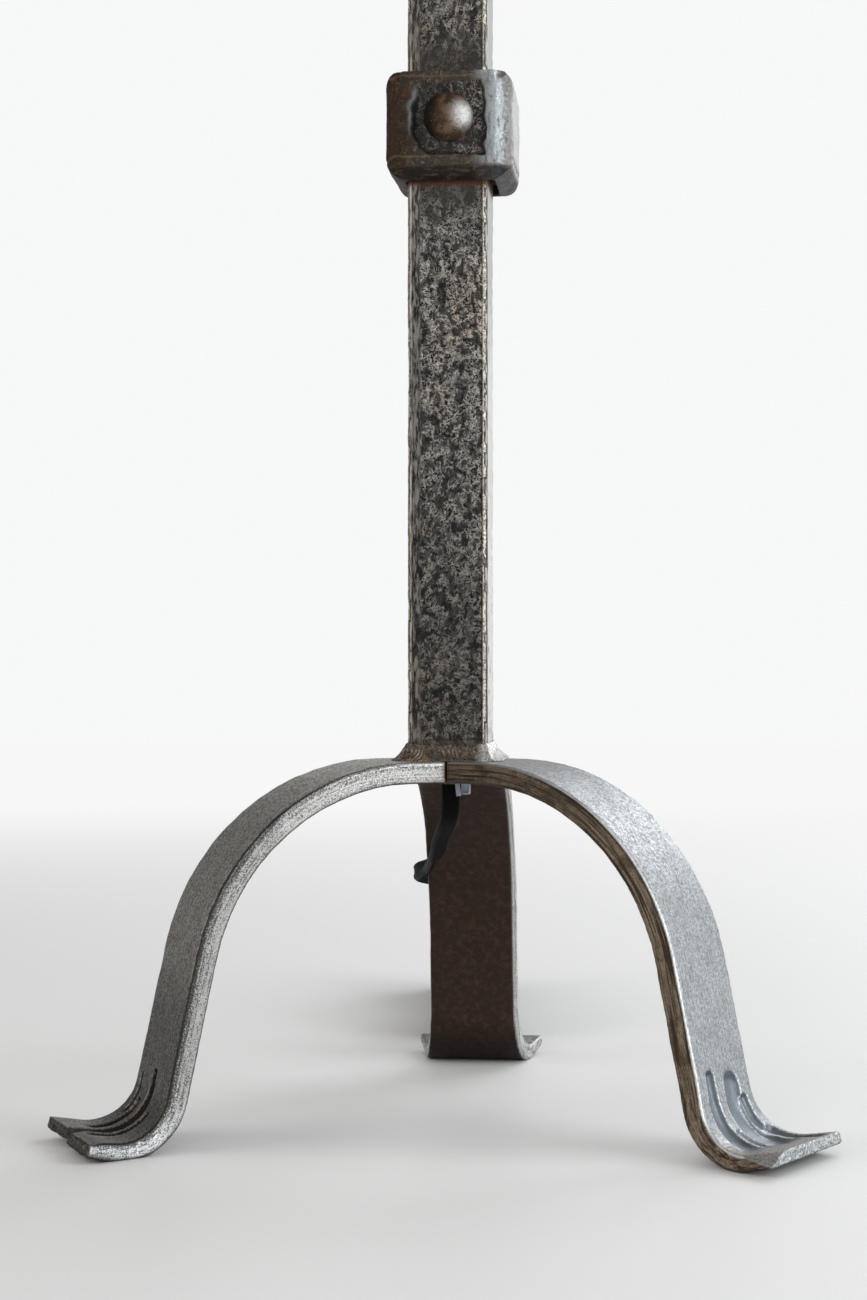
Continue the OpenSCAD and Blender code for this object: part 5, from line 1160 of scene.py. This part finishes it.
# %% Finish of the welds and of the turned iron
weld_iron = Finish("weld_iron")
bead, crest, reach_mark, proud_mark = attribute(weld_iron, "bead")
grain = weld_iron.noise(1500, 4, 0.65)
patch = weld_iron.noise(210, 4, 0.6, 0.4)
straw = weld_iron.blend(weld_iron.ramp(patch, 0.38, 0.66), (0.62, 0.50, 0.36), (0.74, 0.46, 0.23))
lit = weld_iron.maths("MULTIPLY", weld_iron.ramp(crest, 0.45, 0.85), weld_iron.ramp(grain, 0.36, 0.54, 0.35, 1.0))
weld_x = weld_iron.add("SeparateXYZ", {"Vector": weld_iron.coords}).outputs["X"]
# Painted highlight: the right-hand part of the weld is bright silvery grey, painted darker again at its far edge.
weld_right_highlight = weld_iron.ramp(weld_iron.maths("ADD", weld_x, weld_iron.maths("MULTIPLY", patch, 0.005)), 0.0105, 0.0145)
speck = weld_iron.blend(weld_iron.ramp(grain, 0.40, 0.58), (0.042, 0.035, 0.028), (0.20, 0.165, 0.128))
bronze = weld_iron.blend(weld_iron.maths("MULTIPLY", lit, 0.95), speck, straw)
bronze = weld_iron.blend(weld_iron.maths("MULTIPLY", weld_iron.ramp(patch, 0.62, 0.74), 0.7), bronze, (0.42, 0.24, 0.115))
weld_highlight_tone = weld_iron.blend(weld_iron.ramp(grain, 0.36, 0.56), (0.30, 0.285, 0.26), (0.66, 0.66, 0.64))
weld_highlight_tone = weld_iron.blend(weld_iron.maths("MULTIPLY", weld_iron.ramp(crest, 0.3, 0.9), 0.5), weld_highlight_tone, (0.42, 0.34, 0.25))
weld_highlight_tone = weld_iron.blend(1.0, weld_highlight_tone, weld_iron.ramp(weld_x, 0.0130, 0.0150, 1.0, 0.30), "MULTIPLY")
weld_iron.set("Base Color", weld_iron.blend(weld_right_highlight, bronze, weld_highlight_tone))
weld_iron.set("Metallic", weld_iron.ramp(lit, 0.0, 1.0, 0.6, 0.9))
weld_iron.set("Roughness", weld_iron.ramp(grain, 0.35, 0.65, 0.46, 0.34))
weld_iron.bump((grain, 0.00015, 0.8), (patch, 0.0003, 0.5))
wear(weld, weld_iron)


def node_iron(name, dark_tone, light_tone, scale, turned=0.0):
    """Waxed iron for a carried-over node, with turning marks where asked."""
    f = Finish(name)
    lines, pits = net(f, scale, 0.01, 0.06)
    grain = f.noise(1500, 4, 0.65)
    rings = f.noise(1.0, 3, 0.6, 0.0, f.stretched((90, 90, 2600)))
    lit = f.maths("MULTIPLY", f.maths("MAXIMUM", lines, f.maths("MULTIPLY", f.ramp(rings, 0.5, 0.62), turned)), f.ramp(grain, 0.3, 0.56, 0.15, 1.0))
    f.set("Base Color", f.blend(lit, f.blend(f.ramp(pits, 0.4, 0.6), dark_tone, tuple(c * 1.8 for c in dark_tone)), light_tone))
    f.set("Metallic", f.ramp(lit, 0.0, 1.0, 0.5, 0.85))
    f.set("Roughness", f.ramp(lit, 0.0, 1.0, 0.52, 0.34))
    f.bump((lit, 0.00015, 0.8), (pits, 0.0003, 0.5), (f.maths("MULTIPLY", rings, turned), 0.00008, 0.8))
    return f


cap_iron = node_iron("cap_iron", (0.030, 0.028, 0.026), (0.36, 0.33, 0.29), 480)
turned_iron = node_iron("turned_iron", (0.040, 0.035, 0.031), (0.40, 0.37, 0.33), 620, turned=0.8)
seam_iron = node_iron("seam_iron", (0.035, 0.024, 0.018), (0.25, 0.18, 0.11), 700)
wear(nodes["stem_cap"], cap_iron)
wear(nodes["seam_welds"], seam_iron)
for name in ("neck", "finial"):
    wear(nodes[name], turned_iron)
print("welds, cap, neck and finial finished")

# %% [markdown]
# ## The lamp holder, the harp and the shade
# These pieces are stock goods: drawn brass that has dulled, zinc-plated steel with its mottled bloom, black
# mouldings and waxed fibre board. Each gets its colour change, fine scratches and roughness from noises.

# %% Finishes of the fittings
def metal(name, light_tone, dull_tone, scale, rough, scratch=(1600, 1600, 120)):
    f = Finish(name, Metallic=1.0)
    bloom = f.noise(scale, 5, 0.6, 0.8)
    lines = f.noise(1.0, 3, 0.6, 0.0, f.stretched(scratch))
    spots = f.ramp(f.noise(900, 3, 0.5), 0.66, 0.74)
    tone = f.blend(f.ramp(bloom, 0.36, 0.68), light_tone, dull_tone)
    tone = f.blend(f.maths("MULTIPLY", spots, 0.5), tone, tuple(c * 0.35 for c in dull_tone))
    f.set("Base Color", tone)
    f.set("Roughness", f.ramp(f.maths("ADD", f.maths("MULTIPLY", bloom, 0.5), f.maths("MULTIPLY", lines, 0.5)), 0.35, 0.65, *rough))
    f.bump((lines, 0.00003, 0.5), (bloom, 0.00008, 0.3))
    return f


def moulded(name, tone, light_tone, rough, relief=0.00006, scale=1400):
    f = Finish(name)
    fine, cloudy = f.noise(scale, 4, 0.6), f.noise(60, 3, 0.5, 0.3)
    dust = f.ramp(f.noise(420, 4, 0.6, 0.4), 0.55, 0.8)
    f.set("Base Color", f.blend(f.maths("MULTIPLY", f.maths("ADD", f.maths("MULTIPLY", cloudy, 0.6), f.maths("MULTIPLY", dust, 0.4)), 0.6), tone, light_tone))
    f.set("Roughness", f.ramp(f.maths("ADD", f.maths("MULTIPLY", fine, 0.5), f.maths("MULTIPLY", cloudy, 0.5)), 0.35, 0.65, *rough))
    f.bump((fine, relief, 0.7))
    return f


brass = metal("brass", (0.66, 0.50, 0.24), (0.42, 0.30, 0.14), 160, (0.24, 0.42))
zinc = metal("zinc", (0.60, 0.61, 0.61), (0.42, 0.42, 0.41), 220, (0.28, 0.48))
tin = metal("nickel", (0.63, 0.62, 0.60), (0.45, 0.44, 0.42), 260, (0.2, 0.36))
bakelite = moulded("bakelite", (0.020, 0.017, 0.015), (0.055, 0.045, 0.038), (0.26, 0.42))
porcelain = moulded("black_glass", (0.014, 0.014, 0.018), (0.04, 0.04, 0.05), (0.1, 0.22), 0.00002)
sheath = moulded("black_sheath", (0.003, 0.003, 0.0035), (0.008, 0.008, 0.010), (0.46, 0.58), 0.00004, 1100)
sheath.shader.inputs["Specular IOR Level"].default_value = 0.3
sheath.shader.inputs["IOR"].default_value = 1.18
plug_black = moulded("plug_black", (0.017, 0.017, 0.018), (0.045, 0.045, 0.047), (0.42, 0.6), 0.0001, 1700)
tie_black = moulded("tie_black", (0.020, 0.020, 0.022), (0.05, 0.05, 0.052), (0.3, 0.45), 0.00004)
nylon = moulded("pale_nylon", (0.40, 0.46, 0.53), (0.62, 0.68, 0.74), (0.3, 0.48), 0.00004)
nylon.shader.inputs["Subsurface Weight"].default_value = 0.15
nylon.shader.inputs["Subsurface Radius"].default_value = (0.001, 0.001, 0.001)
card = moulded("fibre_board", (0.23, 0.165, 0.10), (0.36, 0.28, 0.19), (0.6, 0.8), 0.0002, 700)

for finish, names in (
    (brass, ("harp_wire", "harp_stud", "ferrule_left", "ferrule_right", "socket_cap", "socket_shell",
             "screw_shell", "centre_contact", "plug_blades")),
    (zinc, ("nipple", "nipple_nut", "harp_saddle", "terminal_screws", "switch_shaft", "spider_hub",
            "shade_spider", "shade_rings")),
    (tin, ("bulb_cap", "bulb_contact", "bulb_filament")),
    (bakelite, ("socket_body", "switch_key")),
    (porcelain, ("bulb_insulator",)),
    (sheath, ("inner_lead", "socket_wires")),
    (plug_black, ("plug_body",)),
    (tie_black, ("hank_tie",)),
    (card, ("socket_liner",)),
):
    for name in names:
        wear(nodes[name], finish)
wear(lead, sheath)
wear(tie, nylon)
print("fittings finished")

# %% [markdown]
# The bulb is frosted inside, so its glass scatters light and only hints at what is in it.

# %% Finish of the glass
frosted = Finish("frosted_glass", Transmission_Weight=0.55, IOR=1.46)
mist = frosted.noise(240, 4, 0.6)
frosted.set("Base Color", frosted.blend(frosted.ramp(mist, 0.35, 0.65), (0.80, 0.80, 0.77), (0.88, 0.88, 0.86)))
frosted.set("Roughness", frosted.ramp(mist, 0.35, 0.65, 0.34, 0.44))
frosted.bump((frosted.noise(1300, 3, 0.6), 0.00003, 0.4))
wear(nodes["bulb_glass"], frosted)
clear = Finish("clear_glass", Transmission_Weight=0.9, IOR=1.5)
streaks = clear.noise(1.0, 3, 0.5, 0.0, clear.stretched((300, 300, 60)))
clear.set("Base Color", clear.blend(clear.ramp(streaks, 0.4, 0.6), (0.80, 0.84, 0.84), (0.90, 0.92, 0.92)))
clear.set("Roughness", clear.ramp(streaks, 0.35, 0.65, 0.06, 0.14))
clear.bump((streaks, 0.0001, 0.3))
wear(nodes["bulb_mount"], clear)
print("glass finished")

# %% [markdown]
# ## The shade
# The shade is linen laid on a stiff lining and rolled into a cone, so it is not a loose sheet of cloth. Its
# two ends meet at the back under a lapped strip. The threads are drawn along the cone and around it by two
# numbers that every vertex carries: the distance around and the distance up the slope.

# %% Model the shade
SHADE_LOW, SHADE_HIGH, SHADE_R1, SHADE_R2, SHADE_WALL = 428.35, 660.35, 165.0, 115.0, 1.2
bpy.ops.object.select_all(action="DESELECT")
bpy.ops.mesh.primitive_cone_add(
    vertices=240, radius1=SHADE_R1 * MM, radius2=SHADE_R2 * MM, depth=(SHADE_HIGH - SHADE_LOW) * MM,
    end_fill_type="NOTHING", location=(0, 0, (SHADE_LOW + SHADE_HIGH) / 2 * MM),
)
shade = bpy.context.object
shade.name = "linen_shade"
bpy.ops.object.mode_set(mode="EDIT")
edit = bmesh.from_edit_mesh(shade.data)
for edge in edit.edges:
    edge.select_set(edge.calc_length() > 100 * MM)
bmesh.update_edit_mesh(shade.data)
bpy.ops.mesh.subdivide(number_cuts=23)
bpy.ops.object.mode_set(mode="OBJECT")
bpy.ops.object.transform_apply(location=True)

bpy.ops.object.select_all(action="DESELECT")
shade.select_set(True)
bpy.ops.object.duplicate()
lap = bpy.context.object
lap.name = "shade_lap"
bpy.ops.object.mode_set(mode="EDIT")
edit = bmesh.from_edit_mesh(lap.data)
for face in edit.faces:
    middle = face.calc_center_median()
    face.select_set(abs(math.atan2(middle.x, middle.y)) > math.radians(2.3))
bmesh.update_edit_mesh(lap.data)
bpy.ops.mesh.delete(type="FACE")
bpy.ops.object.mode_set(mode="OBJECT")
for piece, thick, offset in ((shade, SHADE_WALL, -1), (lap, 0.45, 1)):
    wall = piece.modifiers.new("wall", "SOLIDIFY")
    wall.thickness, wall.offset, wall.use_even_offset = thick * MM, offset, True
    if piece is shade:
        wall.material_offset, wall.material_offset_rim = 1, 0
        for slot_name in ("outside", "lining"):
            shade.data.materials.append(bpy.data.materials.new(slot_name))
    finished(piece)
    place, normal = places(piece)
    turned = np.arctan2(place[:, 0], -place[:, 1])
    slope = (place[:, 2] - SHADE_LOW) / math.cos(math.atan((SHADE_R1 - SHADE_R2) / (SHADE_HIGH - SHADE_LOW)))
    mark(piece, "cloth", turned * 140 * MM, slope * MM, np.zeros(len(place)))
    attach(piece, "shade")
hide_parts("shade_cover")


def woven(name, thread, slub, pitch, coords=None):
    """Plain weave with uneven threads."""
    f = Finish(name, Sheen_Weight=0.25, Sheen_Roughness=0.5)
    cloth = coords or attribute(f, "cloth")[0]
    weft = f.noise(1.0, 3, 0.6, 0.0, f.stretched((28, 1 / pitch, 1 / pitch), cloth))
    warp = f.noise(1.0, 3, 0.6, 0.0, f.stretched((1 / pitch, 22, 1 / pitch), cloth))
    both = f.maths("MAXIMUM", weft, warp)
    cross = f.maths("MULTIPLY", weft, warp)
    thick = f.noise(1.0, 4, 0.6, 0.3, f.stretched((14, 420, 420), cloth))
    tone = f.blend(f.ramp(both, 0.42, 0.68), thread, slub)
    tone = f.blend(f.maths("MULTIPLY", f.ramp(thick, 0.56, 0.74), 0.5), tone, tuple(c * 0.72 for c in thread))
    f.set("Base Color", tone)
    f.set("Roughness", f.ramp(cross, 0.15, 0.4, 0.92, 0.78))
    f.bump((both, 0.00025, 0.8), (thick, 0.0003, 0.5))
    return f


linen = woven("linen", (0.60, 0.54, 0.44), (0.76, 0.70, 0.59), 0.0007)
tape_linen = woven("tape_linen", (0.55, 0.49, 0.39), (0.70, 0.63, 0.52), 0.0006)
lining = moulded("white_lining", (0.72, 0.71, 0.68), (0.80, 0.79, 0.77), (0.5, 0.62), 0.00003, 500)
shade.data.materials[0], shade.data.materials[1] = linen.mat, lining.mat
wear(lap, linen)
tape = Finish("binding_tape", Sheen_Weight=0.2, Sheen_Roughness=0.5)
around = tape.noise(1.0, 3, 0.6, 0.0, tape.stretched((160, 160, 1700)))
across_tape = tape.noise(1500, 3, 0.6)
tape.set("Base Color", tape.blend(tape.ramp(tape.maths("MAXIMUM", around, across_tape), 0.45, 0.68), (0.50, 0.44, 0.35), (0.68, 0.61, 0.50)))
tape.set("Roughness", tape.ramp(across_tape, 0.35, 0.65, 0.9, 0.78))
tape.bump((around, 0.0002, 0.7), (across_tape, 0.0001, 0.6))
wear(nodes["shade_tape"], tape)
print("shade finished")
